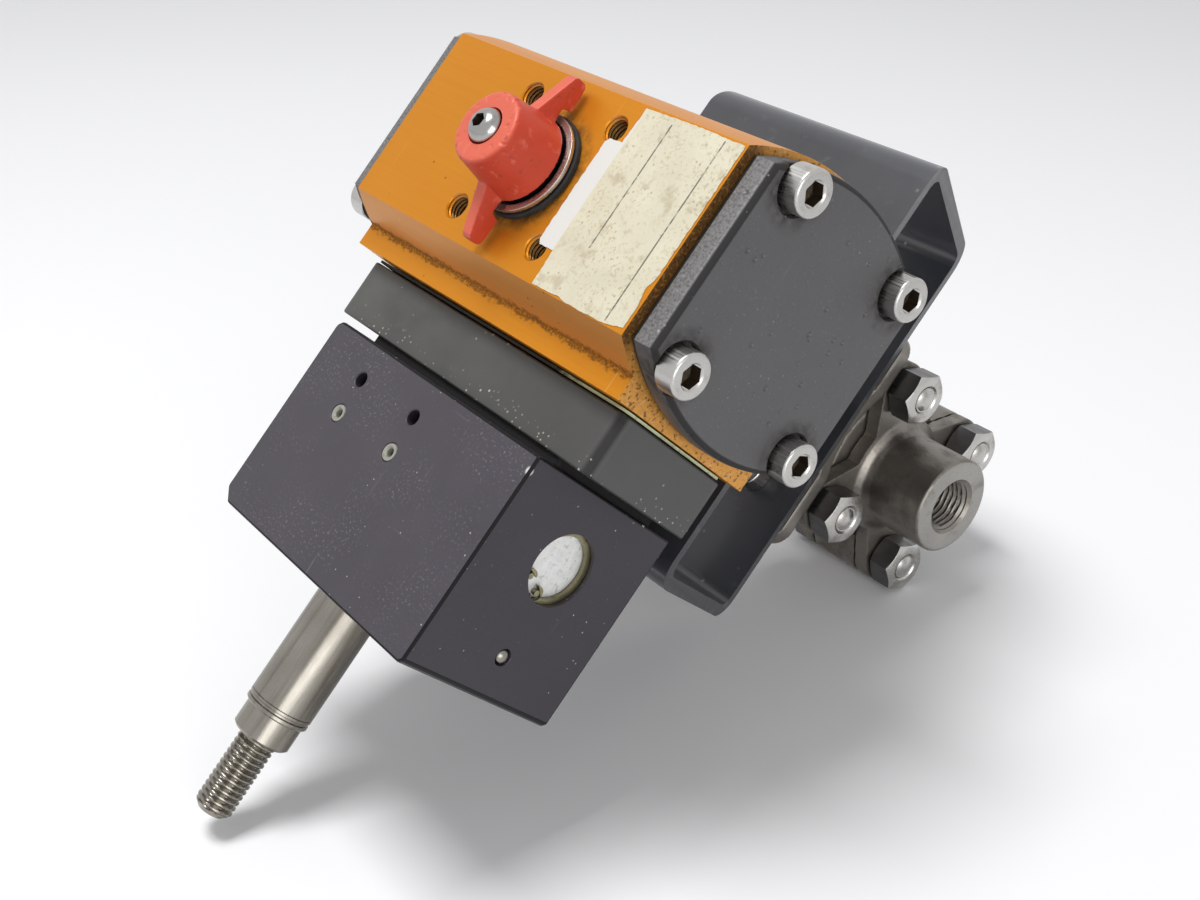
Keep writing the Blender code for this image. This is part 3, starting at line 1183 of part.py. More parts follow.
def make_stem():
    seat = STEM_SEAT_Z
    shoulder_top = seat + STEM_SHOULDER_HEIGHT
    round_top = stem_square_low()
    profile = [(0, round_top), (STEM_R, round_top), (STEM_R, shoulder_top), (STEM_SHOULDER_R, shoulder_top)]
    profile += [(STEM_SHOULDER_R, seat), (0, seat)]
    stem = turned("valve_stem", profile, (0, 0, 0), UP, COARSE)
    half = STEM_SQUARE / 2
    square_low = (-half, -half, round_top - 2 * OVER)
    join(stem, box("square", square_low, (half, half, round_top + STEM_SQUARE_HEIGHT)))
    half_x, half_y = STEM_SHOULDER_R * 0.62, STEM_TANG_THICKNESS / 2
    tang_low = BALL_R - STEM_TANG_DEPTH + SEAT_GAP
    join(stem, box("tang", (-half_x, -half_y, tang_low), (half_x, half_y, seat + OVER)))
    dress(stem, STAINLESS)


def make_packing_and_gland():
    inner = STEM_R + RUNNING_GAP
    place = (0, 0, PACKING_FLOOR + SEAT_GAP)
    packing = ring("stem_packing", inner, PACKING_R, PACKING_HEIGHT, place, UP, COARSE)
    dress(packing, WHITE_PLASTIC)
    head_low = PIPE_TO_PAD + SEAT_GAP
    gland = rod("gland_nut", PACKING_R, head_low + OVER - GLAND_LOW, (0, 0, GLAND_LOW), UP, COARSE)
    join(gland, hexagon("gland_head", GLAND_FLATS, GLAND_HEAD_HEIGHT, (0, 0, head_low)))
    cut(gland, rod("gland_bore", inner, PIPE_TO_PAD, (0, 0, GLAND_LOW - OVER), UP, COARSE))
    dress(gland, STAINLESS)


def make_ball():
    """Ball with its way across the pipe, and the slot for the stem along the pipe."""
    mesh = bpy.data.meshes.new("ball")
    shape = bmesh.new()
    bmesh.ops.create_uvsphere(shape, u_segments=COARSE, v_segments=SMALL, radius=BALL_R)
    shape.to_mesh(mesh)
    shape.free()
    ball = add_object("ball", mesh)
    cut(ball, rod("way", WAY_R, 4 * BALL_R, (0, 2 * BALL_R, 0), MINUS_Y, COARSE))
    half = STEM_TANG_THICKNESS / 2 + SEAT_GAP
    floor = BALL_R - STEM_TANG_DEPTH
    cut(ball, box("slot", (-BALL_R, -half, floor), (BALL_R, half, 2 * BALL_R)))
    dress(ball, STAINLESS)


def make_ball_seats():
    """Soft rings with a conical face that clears the ball by the seat gap."""
    inner = WAY_R + SEAT_LIP
    outer = CAVITY_R - SEAT_GAP
    back = CENTRE_CASTING_WIDTH / 2
    reach = BALL_R + SEAT_GAP
    lip_x = math.sqrt(reach ** 2 - inner ** 2)
    lean = math.atan2(lip_x, inner)
    rim_x = lip_x - (outer - SEAT_RIM - inner) / math.tan(lean) * 1.05
    for name, side, direction in (("front", 1, PLUS_X), ("rear", -1, MINUS_X)):
        profile = [(outer, back), (outer, rim_x), (outer - SEAT_RIM, rim_x), (inner, lip_x), (inner, back)]
        seat = turned("ball_seat_" + name, profile, (0, 0, 0), direction, MEDIUM, ring=True)
        dress(seat, WHITE_PLASTIC)


def make_valve_body():
    """Centre casting: a ring with four bolt lobes on the pipe axis, a neck and the flat mounting pad."""
    half_width = CENTRE_CASTING_WIDTH / 2
    pad_low = PIPE_TO_PAD - PAD_THICKNESS
    start = (-half_width + LOBE_INSET, 0, 0)
    body = slab("valve_body", bolted_outlines(), 2 * (half_width - LOBE_INSET), start, ACROSS_X)
    outline = rounded_rectangle((-PAD_HALF_WIDTH, -PAD_NEAR), (PAD_HALF_WIDTH, PAD_FAR), PAD_CORNER_R)
    join(body, slab("pad", [outline], PAD_THICKNESS, (0, 0, pad_low)))
    place = (-half_width, 0, 0)
    join(body, rod("ring", CENTRE_CASTING_R, CENTRE_CASTING_WIDTH, place, PLUS_X))
    neck_low = (-half_width + NECK_INSET, -PAD_NECK_HALF_Y, 0)
    neck_high = (half_width - NECK_INSET, PAD_NECK_HALF_Y, pad_low + PAD_THICKNESS / 2)
    join(body, box("neck", neck_low, neck_high))
    bore_start = (-2 * half_width, 0, 0)
    cut(body, rod("cavity", CAVITY_R, 4 * half_width, bore_start, PLUS_X))
    shoulder_top = STEM_SEAT_Z + STEM_SHOULDER_HEIGHT + SEAT_GAP
    pack_r = PACKING_R + SEAT_GAP
    profile = [(0, PIPE_TO_PAD + OVER), (pack_r, PIPE_TO_PAD + OVER), (pack_r, PACKING_FLOOR)]
    profile += [(STEM_R + RUNNING_GAP, PACKING_FLOOR), (STEM_R + RUNNING_GAP, shoulder_top)]
    profile += [(STEM_SHOULDER_R + SEAT_GAP, shoulder_top), (STEM_SHOULDER_R + SEAT_GAP, 0), (0, 0)]
    cut(body, turned("stem_bore", profile, (0, 0, 0), UP, COARSE))
    for y in (-BRACKET_BOLT_Y, BRACKET_BOLT_Y):
        low = (0, y, pad_low - OVER)
        cut(body, rod("pad_hole", BRACKET_BOLT_R + HOLE_GAP, PAD_THICKNESS + 2 * OVER, low, UP, SMALL))
    dress(body, CAST_STAINLESS)


def flange_outline():
    """Four bolt lobes joined by hollowed sides, as (y, z)."""
    points = []
    places = corners(BODY_BOLT_Y, BODY_BOLT_Z)
    for index, (y, z) in enumerate(places):
        towards = math.degrees(math.atan2(z, y))
        points += arc((y, z), FLANGE_LOBE_R, towards - 85, towards + 85, 5)
        side = math.radians(90 * index + 90)
        points.append((FLANGE_WAIST_R * math.cos(side), FLANGE_WAIST_R * math.sin(side)))
    return points


def bolted_outlines():
    """Outline of the clamped castings and of their four bolt holes."""
    holes = [circle(BODY_BOLT_R + HOLE_GAP, place) for place in corners(BODY_BOLT_Y, BODY_BOLT_Z)]
    return [flange_outline()] + holes


def make_end_connectors():
    flange = slab("end_connector_front", bolted_outlines(), FLANGE_THICKNESS, (0, 0, 0), ACROSS_X)
    hub_end = FLANGE_THICKNESS + HUB_LENGTH
    flare_r = HUB_R + HUB_FLARE
    profile = [(0, hub_end), (HUB_R - HUB_EDGE, hub_end), (HUB_R, hub_end - HUB_EDGE)]
    profile += [(HUB_R, FLANGE_THICKNESS + 2.2 * HUB_FLARE), (HUB_R + HUB_FLARE * 0.35, FLANGE_THICKNESS + HUB_FLARE)]
    profile += [(flare_r, FLANGE_THICKNESS), (flare_r, FLANGE_THICKNESS / 2), (0, FLANGE_THICKNESS / 2)]
    join(flange, turned("hub", profile, (0, 0, 0), PLUS_X))
    mouth = PORT_R + PORT_CHAMFER
    profile = [(0, hub_end + OVER), (mouth + OVER, hub_end + OVER), (PORT_R, hub_end - PORT_CHAMFER)]
    profile += [(PORT_R * 0.96, hub_end - PORT_DEPTH), (WAY_R, hub_end - PORT_DEPTH - (PORT_R - WAY_R) * 0.6)]
    profile += [(WAY_R, -OVER), (0, -OVER)]
    cut(flange, turned("port", profile, (0, 0, 0), PLUS_X))
    settle(flange)
    flange.location = (FLANGE_INNER_X, 0, 0)
    dress(flange, CAST_STAINLESS)
    turned_about = (math.pi / 2, 0, -math.pi / 2)
    copy_of(flange, "end_connector_rear", (-FLANGE_INNER_X, 0, 0), turned_about)


def chamfered_hexagon(name, flats, height, both=False):
    """Hexagon whose edges are taken off at the top, and at the foot of a nut."""
    corner = flats / math.sqrt(3)
    drop = (corner - flats / 2) * 0.62
    profile = [(0, height), (flats / 2, height), (corner, height - drop)]
    profile += [(corner, drop), (flats / 2, 0)] if both else [(corner, 0)]
    return turned(name, profile + [(0, 0)], steps=6)


def make_body_fasteners():
    seat = FLANGE_OUTER_X + SEAT_GAP
    nut = chamfered_hexagon("body_nut", NUT_FLATS, NUT_HEIGHT, both=True)
    cut(nut, rod("nut_bore", BODY_BOLT_R + HOLE_GAP, 3 * NUT_HEIGHT, (0, 0, -NUT_HEIGHT), UP, SMALL))
    settle(nut)
    nut.data.transform(Matrix.Rotation(NUT_TURN, 4, "Z"))
    dress(nut, ZINC)
    bolt = chamfered_hexagon("body_bolt", NUT_FLATS, BOLT_HEAD_HEIGHT)
    reach = 2 * seat + NUT_HEIGHT + BODY_BOLT_PROUD
    dome = BODY_BOLT_R * 0.25
    profile = [(0, BOLT_HEAD_HEIGHT / 2), (BODY_BOLT_R, BOLT_HEAD_HEIGHT / 2), (BODY_BOLT_R, -reach + dome)]
    profile += [(BODY_BOLT_R * 0.7, -reach), (0, -reach)]
    join(bolt, turned("shank", profile, steps=SMALL))
    settle(bolt)
    dress(bolt, ZINC)
    for index, (y, z) in enumerate(corners(BODY_BOLT_Y, BODY_BOLT_Z)):
        copy_of(nut, "body_nut_%d" % (index + 1), (seat, y, z), PLUS_X)
        copy_of(bolt, "body_bolt_%d" % (index + 1), (-seat, y, z), MINUS_X)
    bpy.data.objects.remove(nut)
    bpy.data.objects.remove(bolt)


def build():
    make_barrel()
    make_end_cap("end_cap_front", CAP_FRONT_THICKNESS, 1)
    make_end_cap("end_cap_rear", CAP_REAR_THICKNESS, -1)
    make_end_seal("end_seal_front", 1)
    make_end_seal("end_seal_rear", -1)
    make_cap_screws()
    make_pinion()
    make_bearings()
    make_washer_and_snap_ring()
    make_pistons()
    make_knob()
    make_knob_screw()
    make_port_gasket()
    make_adapter()
    make_interface_gasket()
    make_block()
    make_block_screws()
    make_spool()
    make_spool_plug()
    make_circlip()
    make_ball_plug()
    make_vent_inserts()
    make_armature_tube()
    make_armature()
    make_armature_spring()
    make_bracket()
    make_coupling()
    make_stem()
    make_packing_and_gland()
    make_ball()
    make_ball_seats()
    make_valve_body()
    make_end_connectors()
    make_body_fasteners()
    bpy.context.view_layer.update()


build()
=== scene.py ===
"""Looks of the ball valve with its rack-and-pinion air actuator and its pilot valve.

+X is the near pipe end, -Y the side of the pilot valve and +Z the top of the actuator, in metres.
"""

import json
import math
import random

import bmesh
import bpy
from mathutils import Matrix, Vector, noise

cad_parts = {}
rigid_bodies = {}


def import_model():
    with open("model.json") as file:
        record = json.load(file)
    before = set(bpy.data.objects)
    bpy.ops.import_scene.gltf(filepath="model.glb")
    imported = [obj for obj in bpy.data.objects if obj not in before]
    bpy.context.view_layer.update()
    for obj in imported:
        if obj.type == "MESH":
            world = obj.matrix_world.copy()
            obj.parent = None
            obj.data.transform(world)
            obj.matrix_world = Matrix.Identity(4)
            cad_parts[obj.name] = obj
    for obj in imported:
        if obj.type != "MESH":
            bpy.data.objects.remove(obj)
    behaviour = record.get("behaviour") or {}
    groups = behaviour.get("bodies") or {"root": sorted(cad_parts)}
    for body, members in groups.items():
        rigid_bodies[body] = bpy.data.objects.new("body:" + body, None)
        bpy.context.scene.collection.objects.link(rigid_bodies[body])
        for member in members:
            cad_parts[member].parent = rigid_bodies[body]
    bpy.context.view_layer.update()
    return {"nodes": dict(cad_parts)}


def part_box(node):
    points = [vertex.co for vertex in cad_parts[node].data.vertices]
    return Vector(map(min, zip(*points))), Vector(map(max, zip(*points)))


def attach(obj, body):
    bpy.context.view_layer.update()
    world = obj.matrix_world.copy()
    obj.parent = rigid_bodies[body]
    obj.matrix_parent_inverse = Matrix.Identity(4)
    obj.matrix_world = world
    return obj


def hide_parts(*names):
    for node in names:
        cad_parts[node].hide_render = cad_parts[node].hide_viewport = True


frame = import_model()

MM = 0.001

# Steps round a turned shape
SMOOTH = 64
ROUND = 40
TINY = 24

# Directions that a turned shape can point in, as rotations of +Z
UP = (0, 0, 0)
DOWN = (math.pi, 0, 0)
PLUS_X = (0, math.pi / 2, 0)
MINUS_X = (0, -math.pi / 2, 0)
MINUS_Y = (math.pi / 2, 0, 0)
ACROSS_X = (math.pi / 2, 0, math.pi / 2)
ACROSS_Y = (math.pi / 2, 0, 0)

# Sizes shared by several pieces
BODY_LOW, BODY_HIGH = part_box("actuator_body")
BODY_TOP = BODY_HIGH.z
BODY_MID = (BODY_LOW.z + BODY_HIGH.z) / 2
PAD_FACE_Y = -BODY_LOW.y
PAD_HALF_HEIGHT = 20.4 * MM
TOP_HALF_WIDTH = 18.7 * MM
BODY_BULGE = BODY_HIGH.y
# Where the barrel's side meets the ledge above the pad
VALLEY_Y = -22.8 * MM
TOP_HOLE_SPACING = 25.2 * MM
TOP_HOLE_R = 2.25 * MM
COUNTERSINK_R = 2.75 * MM
CAP_SCREW_Y = 18 * MM
CAP_SCREW_Z = 18.84 * MM
CAP_EDGE_R = 1.6 * MM
BLOCK_LOW, BLOCK_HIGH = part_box("solenoid_block")
SPOOL_Y = sum(corner.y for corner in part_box("spool_plug")) / 2
BOLT_Y = 16.4 * MM
BOLT_Z = 15.9 * MM

# The photograph's camera and table
CAMERA_PLACE = (0.2225, -0.0401, 0.3132)
CAMERA_RIGHT = Vector((0.6088, 0.5585, -0.5634))
CAMERA_DOWN = Vector((0.397, -0.8294, -0.3931))
CAMERA_FORWARD = Vector((-0.6868, 0.0156, -0.7267))
CAMERA_LENS = 46.94
TABLE_NORMAL = Vector((0, 0.716, 0.698)).normalized()

WORK = bpy.data.collections.new("looks")
bpy.context.scene.collection.children.link(WORK)


class Surface:
    """A Principled material made of noise in the piece's own space, with small helpers to build it."""

    def __init__(self, name, roughness=0.5, metallic=0.0, specular=0.5, coat=0.0):
        self.material = bpy.data.materials.new(name)
        self.material.use_nodes = True
        self.nodes = self.material.node_tree.nodes
        self.links = self.material.node_tree.links
        self.shader = self.nodes["Principled BSDF"]
        self.shader.inputs["Roughness"].default_value = roughness
        self.shader.inputs["Metallic"].default_value = metallic
        self.shader.inputs["Specular IOR Level"].default_value = specular
        self.shader.inputs["Coat Weight"].default_value = coat
        self.shader.inputs["Coat Roughness"].default_value = 0.12
        self.place = self.nodes.new("ShaderNodeTexCoord").outputs["Object"]
        self.height = None

    def put(self, value, socket):
        if isinstance(value, bpy.types.NodeSocket):
            self.links.new(value, socket)
        elif isinstance(value, (tuple, list)):
            socket.default_value = (*value, 1) if len(value) == 3 and socket.type == "RGBA" else value
        else:
            socket.default_value = value

    def stretched(self, stretch, shift=(0, 0, 0)):
        node = self.nodes.new("ShaderNodeMapping")
        self.put(self.place, node.inputs["Vector"])
        node.inputs["Scale"].default_value = stretch
        node.inputs["Location"].default_value = shift
        return node.outputs["Vector"]

    def noise(self, size, detail=3.0, stretch=(1, 1, 1), shift=(0, 0, 0), rough=0.55):
        """Noise from 0 to 1 whose blobs are about the given size."""
        node = self.nodes.new("ShaderNodeTexNoise")
        self.put(self.stretched(stretch, shift), node.inputs["Vector"])
        node.inputs["Scale"].default_value = 0.5 / size
        node.inputs["Detail"].default_value = detail
        node.inputs["Roughness"].default_value = rough
        return node.outputs["Fac"]

    def spots(self, size, radius=0.3, soft=0.08, shift=(0, 0, 0), stretch=(1, 1, 1)):
        """1 inside scattered round spots, 0 between them."""
        node = self.nodes.new("ShaderNodeTexVoronoi")
        self.put(self.stretched(stretch, shift), node.inputs["Vector"])
        node.inputs["Scale"].default_value = 1 / size
        return self.ramp(node.outputs["Distance"], radius + soft, radius)

    def ramp(self, value, low, high):
        """0 at low and 1 at high."""
        node = self.nodes.new("ShaderNodeMapRange")
        self.put(value, node.inputs["Value"])
        node.inputs["From Min"].default_value = low
        node.inputs["From Max"].default_value = high
        return node.outputs["Result"]

    def math(self, kind, first, second=0.0):
        node = self.nodes.new("ShaderNodeMath")
        node.operation = kind
        node.use_clamp = True
        self.put(first, node.inputs[0])
        self.put(second, node.inputs[1])
        return node.outputs[0]

    def both(self, *values):
        result = values[0]
        for value in values[1:]:
            result = self.math("MULTIPLY", result, value)
        return result

    def most(self, *values):
        result = values[0]
        for value in values[1:]:
            result = self.math("MAXIMUM", result, value)
        return result

    def mix(self, share, first, second):
        node = self.nodes.new("ShaderNodeMix")
        node.data_type = "RGBA"
        self.put(share, node.inputs["Factor"])
        self.put(first, node.inputs["A"])
        self.put(second, node.inputs["B"])
        return node.outputs["Result"]

    def blend(self, share, first, second):
        node = self.nodes.new("ShaderNodeMix")
        self.put(share, node.inputs["Factor"])
        self.put(first, node.inputs["A"])
        self.put(second, node.inputs["B"])
        return node.outputs["Result"]

    def axis(self, name):
        node = self.nodes.new("ShaderNodeSeparateXYZ")
        self.put(self.place, node.inputs["Vector"])
        return node.outputs[name]

    def facing(self, name):
        """Part of the surface's normal along one axis of the piece, before any bump."""
        change = self.nodes.new("ShaderNodeVectorTransform")
        change.vector_type = "NORMAL"
        change.convert_from = "WORLD"
        change.convert_to = "OBJECT"
        self.put(self.nodes.new("ShaderNodeNewGeometry").outputs["Normal"], change.inputs["Vector"])
        node = self.nodes.new("ShaderNodeSeparateXYZ")
        self.put(change.outputs["Vector"], node.inputs["Vector"])
        return node.outputs[name]

    def near(self, value, centre, reach):
        """1 where the value is at the centre, 0 once it is reach away."""
        node = self.nodes.new("ShaderNodeMath")
        node.operation = "SUBTRACT"
        self.put(value, node.inputs[0])
        self.put(centre, node.inputs[1])
        size = self.nodes.new("ShaderNodeMath")
        size.operation = "ABSOLUTE"
        self.put(node.outputs[0], size.inputs[0])
        return self.ramp(size.outputs[0], reach, 0.0)

    def near_point(self, centre, radius, reach):
        """1 within the radius of a point, 0 once it is reach further away."""
        node = self.nodes.new("ShaderNodeVectorMath")
        node.operation = "DISTANCE"
        self.put(self.place, node.inputs[0])
        node.inputs[1].default_value = centre
        return self.ramp(node.outputs["Value"], radius + reach, radius)

    def colour(self, value):
        self.put(value, self.shader.inputs["Base Color"])

    def roughness(self, value):
        self.put(value, self.shader.inputs["Roughness"])

    def bump(self, value, depth):
        """Raise the surface by the value times the depth, on top of earlier bumps."""
        node = self.nodes.new("ShaderNodeBump")
        node.inputs["Strength"].default_value = 1.0
        node.inputs["Distance"].default_value = depth
        self.put(value, node.inputs["Height"])
        if self.height is not None:
            self.put(self.height, node.inputs["Normal"])
        self.height = node.outputs["Normal"]
        self.put(self.height, self.shader.inputs["Normal"])


def anodised_orange():
    paint = Surface("orange_anodising", 0.36, 0.5, 0.22)
    drawn = paint.noise(0.25 * MM, 3, (0.02, 1, 1))
    cloud = paint.noise(9 * MM, 4)
    base = paint.mix(cloud, (0.58, 0.215, 0.01), (0.65, 0.25, 0.015))
    base = paint.mix(paint.both(paint.ramp(drawn, 0.35, 0.7), 0.16), base, (0.46, 0.16, 0.008))
    height = paint.axis("Z")
    side_sheen = paint.both(
        paint.ramp(paint.facing("Y"), -0.2, -0.45),
        paint.ramp(height, BODY_MID + PAD_HALF_HEIGHT, BODY_MID + PAD_HALF_HEIGHT + 1 * MM),
    )
    base = paint.mix(paint.both(side_sheen, 0.75), base, (0.56, 0.25, 0.07))
    valley = paint.both(
        paint.near(height, BODY_MID + PAD_HALF_HEIGHT, 3.4 * MM),
        paint.near(paint.axis("Y"), VALLEY_Y, 3.0 * MM),
    )
    grit = paint.both(paint.noise(0.5 * MM, 5, (0.7, 1, 1)), 1.1)
    lump = paint.both(paint.noise(4 * MM, 3, shift=(0, 0, 6)), 0.35)
    crust = paint.math("ADD", paint.both(valley, 0.75), paint.both(grit, paint.math("ADD", lump, 0.55)))
    broken = paint.ramp(paint.noise(0.2 * MM, 3, shift=(5, 2, 0)), 0.3, 0.52)
    dirt = paint.most(
        paint.both(paint.ramp(crust, 0.84, 1.06), broken, 0.9),
        paint.both(paint.spots(3.1 * MM, 0.06, 0.05), paint.ramp(cloud, 0.5, 0.6), 0.7),
    )
    hub_grime = paint.both(
        paint.near_point((0, 0, BODY_TOP), 11 * MM, 2.5 * MM),
        paint.ramp(paint.noise(1.2 * MM, 4), 0.35, 0.6),
        0.8,
    )
    dirt = paint.most(dirt, hub_grime)
    scratch = paint.ramp(paint.noise(0.5 * MM, 2, (1, 0.02, 0.4), (3, 1, 2)), 0.73, 0.76)
    base = paint.mix(dirt, base, (0.055, 0.026, 0.012))
    base = paint.mix(paint.both(scratch, 0.3), base, (0.85, 0.5, 0.18))
    paint.colour(base)
    paint.roughness(paint.blend(dirt, paint.ramp(drawn, -2.1, 4.4), 0.8))
    paint.bump(drawn, 0.003 * MM)
    paint.bump(paint.noise(0.12 * MM, 2), 0.004 * MM)
    return paint.material


def sawn_orange():
    """End face of the barrel, sawn and speckled, with bare metal showing."""
    paint = Surface("orange_end_face", 0.5, 0.6)
    grain = paint.noise(0.35 * MM, 4)
    base = paint.mix(grain, (0.42, 0.16, 0.02), (0.8, 0.42, 0.1))
    bare = paint.both(paint.ramp(paint.noise(0.6 * MM, 4, shift=(5, 0, 0)), 0.6, 0.68), 0.5)
    dark = paint.ramp(paint.noise(0.4 * MM, 4, shift=(2, 7, 0)), 0.56, 0.64)
    base = paint.mix(bare, base, (0.7, 0.5, 0.3))
    base = paint.mix(paint.both(dark, 0.8), base, (0.09, 0.045, 0.02))
    rim_dirt = paint.both(paint.ramp(paint.axis("Z"), BODY_TOP - 4.5 * MM, BODY_TOP - 1.5 * MM), paint.ramp(grain, 0.25, 0.5))
    paint.colour(paint.mix(paint.both(rim_dirt, 0.85), base, (0.05, 0.022, 0.01)))
    paint.roughness(paint.ramp(grain, -0.5, 1.6))
    paint.bump(grain, 0.05 * MM)
    return paint.material


def worn_orange():
    """Corners of the barrel where the anodising is thin and bright."""
    paint = Surface("orange_corner", 0.3, 0.6)
    rubbed = paint.ramp(paint.noise(1.5 * MM, 5, (0.3, 1, 1)), 0.45, 0.7)
    paint.colour(paint.mix(rubbed, (0.78, 0.36, 0.05), (0.86, 0.55, 0.24)))
    paint.roughness(paint.ramp(rubbed, -0.8, 2.6))
    paint.bump(paint.noise(0.3 * MM, 3), 0.01 * MM)
    return paint.material


def dark_cast(name, colour, light, dents=True):
    """Dark coated cast aluminium with pits and light specks."""
    paint = Surface(name, 0.42, 0.25, 0.5)
    cloud = paint.noise(7 * MM, 5)
    grain = paint.noise(0.28 * MM, 3)
    base = paint.mix(cloud, colour, tuple(value * 1.35 for value in colour))
    base = paint.mix(paint.ramp(grain, 0.62, 0.8), base, tuple(value * 1.7 for value in colour))
    speck = paint.both(
        paint.spots(2.4 * MM, 0.07, 0.04, (1, 2, 3)),
        paint.ramp(paint.noise(5 * MM, 3, shift=(4, 4, 4)), 0.46, 0.56),
    )
    base = paint.mix(paint.both(speck, 0.8), base, light)
    haze = paint.ramp(paint.noise(2.5 * MM, 5, (1, 0.35, 1), (8, 2, 1)), 0.52, 0.8)
    base = paint.mix(paint.both(haze, 0.22), base, light)
    paint.colour(base)
    paint.roughness(paint.blend(speck, paint.ramp(cloud, -1.15, 2.7), 0.8))
    paint.bump(grain, 0.012 * MM)
    if dents:
        dent = paint.both(
            paint.spots(6.5 * MM, 0.075, 0.05, (3, 3, 1)),
            paint.ramp(paint.noise(9 * MM, 2, shift=(2, 9, 4)), 0.42, 0.5),
        )
        paint.bump(paint.math("SUBTRACT", 1.0, dent), 0.16 * MM)
    return paint.material


def cap_face():
    """Satin dark coat of the end caps, darker brown in a ring round each screw."""
    paint = Surface("cap_coat", 0.4, 0.3, 0.5)
    cloud = paint.noise(8 * MM, 4)
    grain = paint.noise(0.25 * MM, 3)
    base = paint.mix(cloud, (0.072, 0.069, 0.072), (0.1, 0.097, 0.1))
    base = paint.mix(paint.ramp(grain, 0.6, 0.8), base, (0.14, 0.135, 0.135))
    rings = []
    for side in (1, -1):
        for y in (CAP_SCREW_Y, -CAP_SCREW_Y):
            for z in (CAP_SCREW_Z, -CAP_SCREW_Z):
                centre = (side * 48.5 * MM, y, BODY_MID + z)
                rings.append(paint.near_point(centre, 4.7 * MM, 3.6 * MM))
    # Patchy darker brown in a ring round each screw head.
    darkening = paint.both(paint.most(*rings), paint.ramp(paint.noise(1.1 * MM, 5), 0.3, 0.62))
    upward = paint.facing("Z")
    across = paint.math("ABSOLUTE", paint.facing("X"))
    base = paint.mix(paint.both(paint.ramp(upward, 0.9, 0.97), paint.ramp(grain, 0.3, 0.6)), base, (0.2, 0.195, 0.19))
    # Painted dark reflection: the rounded edge round the cap's face is darkened almost to black.
    rounded_edge_dark_reflection = paint.both(paint.ramp(across, 0.3, 0.5), paint.ramp(across, 0.985, 0.93))
    base = paint.mix(paint.both(rounded_edge_dark_reflection, 0.85), base, (0.012, 0.011, 0.011))
    base = paint.mix(paint.both(darkening, 0.9), base, (0.018, 0.013, 0.009))
    speck = paint.both(
        paint.spots(1.9 * MM, 0.08, 0.04, (1, 2, 3)),
        paint.most(
            paint.ramp(paint.noise(6 * MM, 3, shift=(4, 4, 4)), 0.55, 0.62),
            paint.ramp(paint.axis("Z"), BODY_MID + 25.2 * MM, BODY_MID + 26.2 * MM),
        ),
    )
    base = paint.mix(paint.both(speck, 0.4), base, (0.42, 0.4, 0.37))
    scuff = paint.ramp(paint.noise(0.5 * MM, 2, (1, 0.06, 1), (1, 5, 0)), 0.72, 0.77)
    base = paint.mix(paint.both(scuff, 0.2), base, (0.3, 0.29, 0.28))
    paint.colour(base)
    paint.roughness(paint.blend(paint.most(darkening, speck, rounded_edge_dark_reflection), paint.ramp(cloud, -1.2, 2.7), 0.85))
    dent = paint.both(
        paint.spots(3.4 * MM, 0.02, 0.16, (2, 6, 1)),
        paint.ramp(paint.noise(8 * MM, 2, shift=(2, 9, 4)), 0.36, 0.46),
    )
    paint.bump(paint.math("SUBTRACT", 1.0, dent), 0.42 * MM)
    paint.bump(grain, 0.012 * MM)
    return paint.material


def adapter_coat():
    """Worn dark coat, dusty towards its far end and along its lower edge."""
    paint = Surface("adapter_coat", 0.5, 0.25)
    cloud = paint.noise(6 * MM, 5)
    grain = paint.noise(0.3 * MM, 3)
    base = paint.mix(cloud, (0.052, 0.052, 0.05), (0.08, 0.08, 0.077))
    dust = paint.both(
        paint.ramp(paint.axis("X"), 28 * MM, -42 * MM),
        paint.ramp(paint.noise(3 * MM, 5, (0.6, 1, 1)), 0.3, 0.75),
    )
    base = paint.mix(paint.both(dust, 0.6), base, (0.15, 0.148, 0.135))
    # Painted dark reflection: the rounded corners at the +X end are darkened almost to black.
    across = paint.facing("X")
    corner = paint.both(paint.ramp(across, 0.15, 0.5), paint.ramp(across, 0.97, 0.8))
    base = paint.mix(paint.both(corner, 0.8), base, (0.012, 0.012, 0.012))
    seam = paint.near(paint.axis("Y"), -28.2 * MM, 2.0 * MM)
    crust = paint.math("ADD", paint.both(seam, 0.8), paint.both(paint.noise(0.6 * MM, 5), 0.6))
    base = paint.mix(paint.ramp(crust, 0.85, 1.0), base, (0.014, 0.012, 0.009))
    crumbs = paint.both(
        paint.spots(1.1 * MM, 0.16, 0.06),
        paint.ramp(paint.axis("Y"), -36.5 * MM, -40.5 * MM),
        paint.ramp(paint.noise(3 * MM, 3, shift=(7, 0, 2)), 0.48, 0.58),
    )
    speck = paint.both(paint.spots(2.2 * MM, 0.08, 0.05, (3, 1, 0)), paint.ramp(cloud, 0.5, 0.58))
    base = paint.mix(paint.both(paint.most(crumbs, speck), 0.85), base, (0.55, 0.53, 0.47))
    paint.colour(base)
    paint.roughness(paint.blend(paint.most(dust, corner), paint.ramp(cloud, -1.2, 2.4), 0.8))
    paint.bump(crumbs, 0.08 * MM)
    paint.bump(grain, 0.015 * MM)
    return paint.material


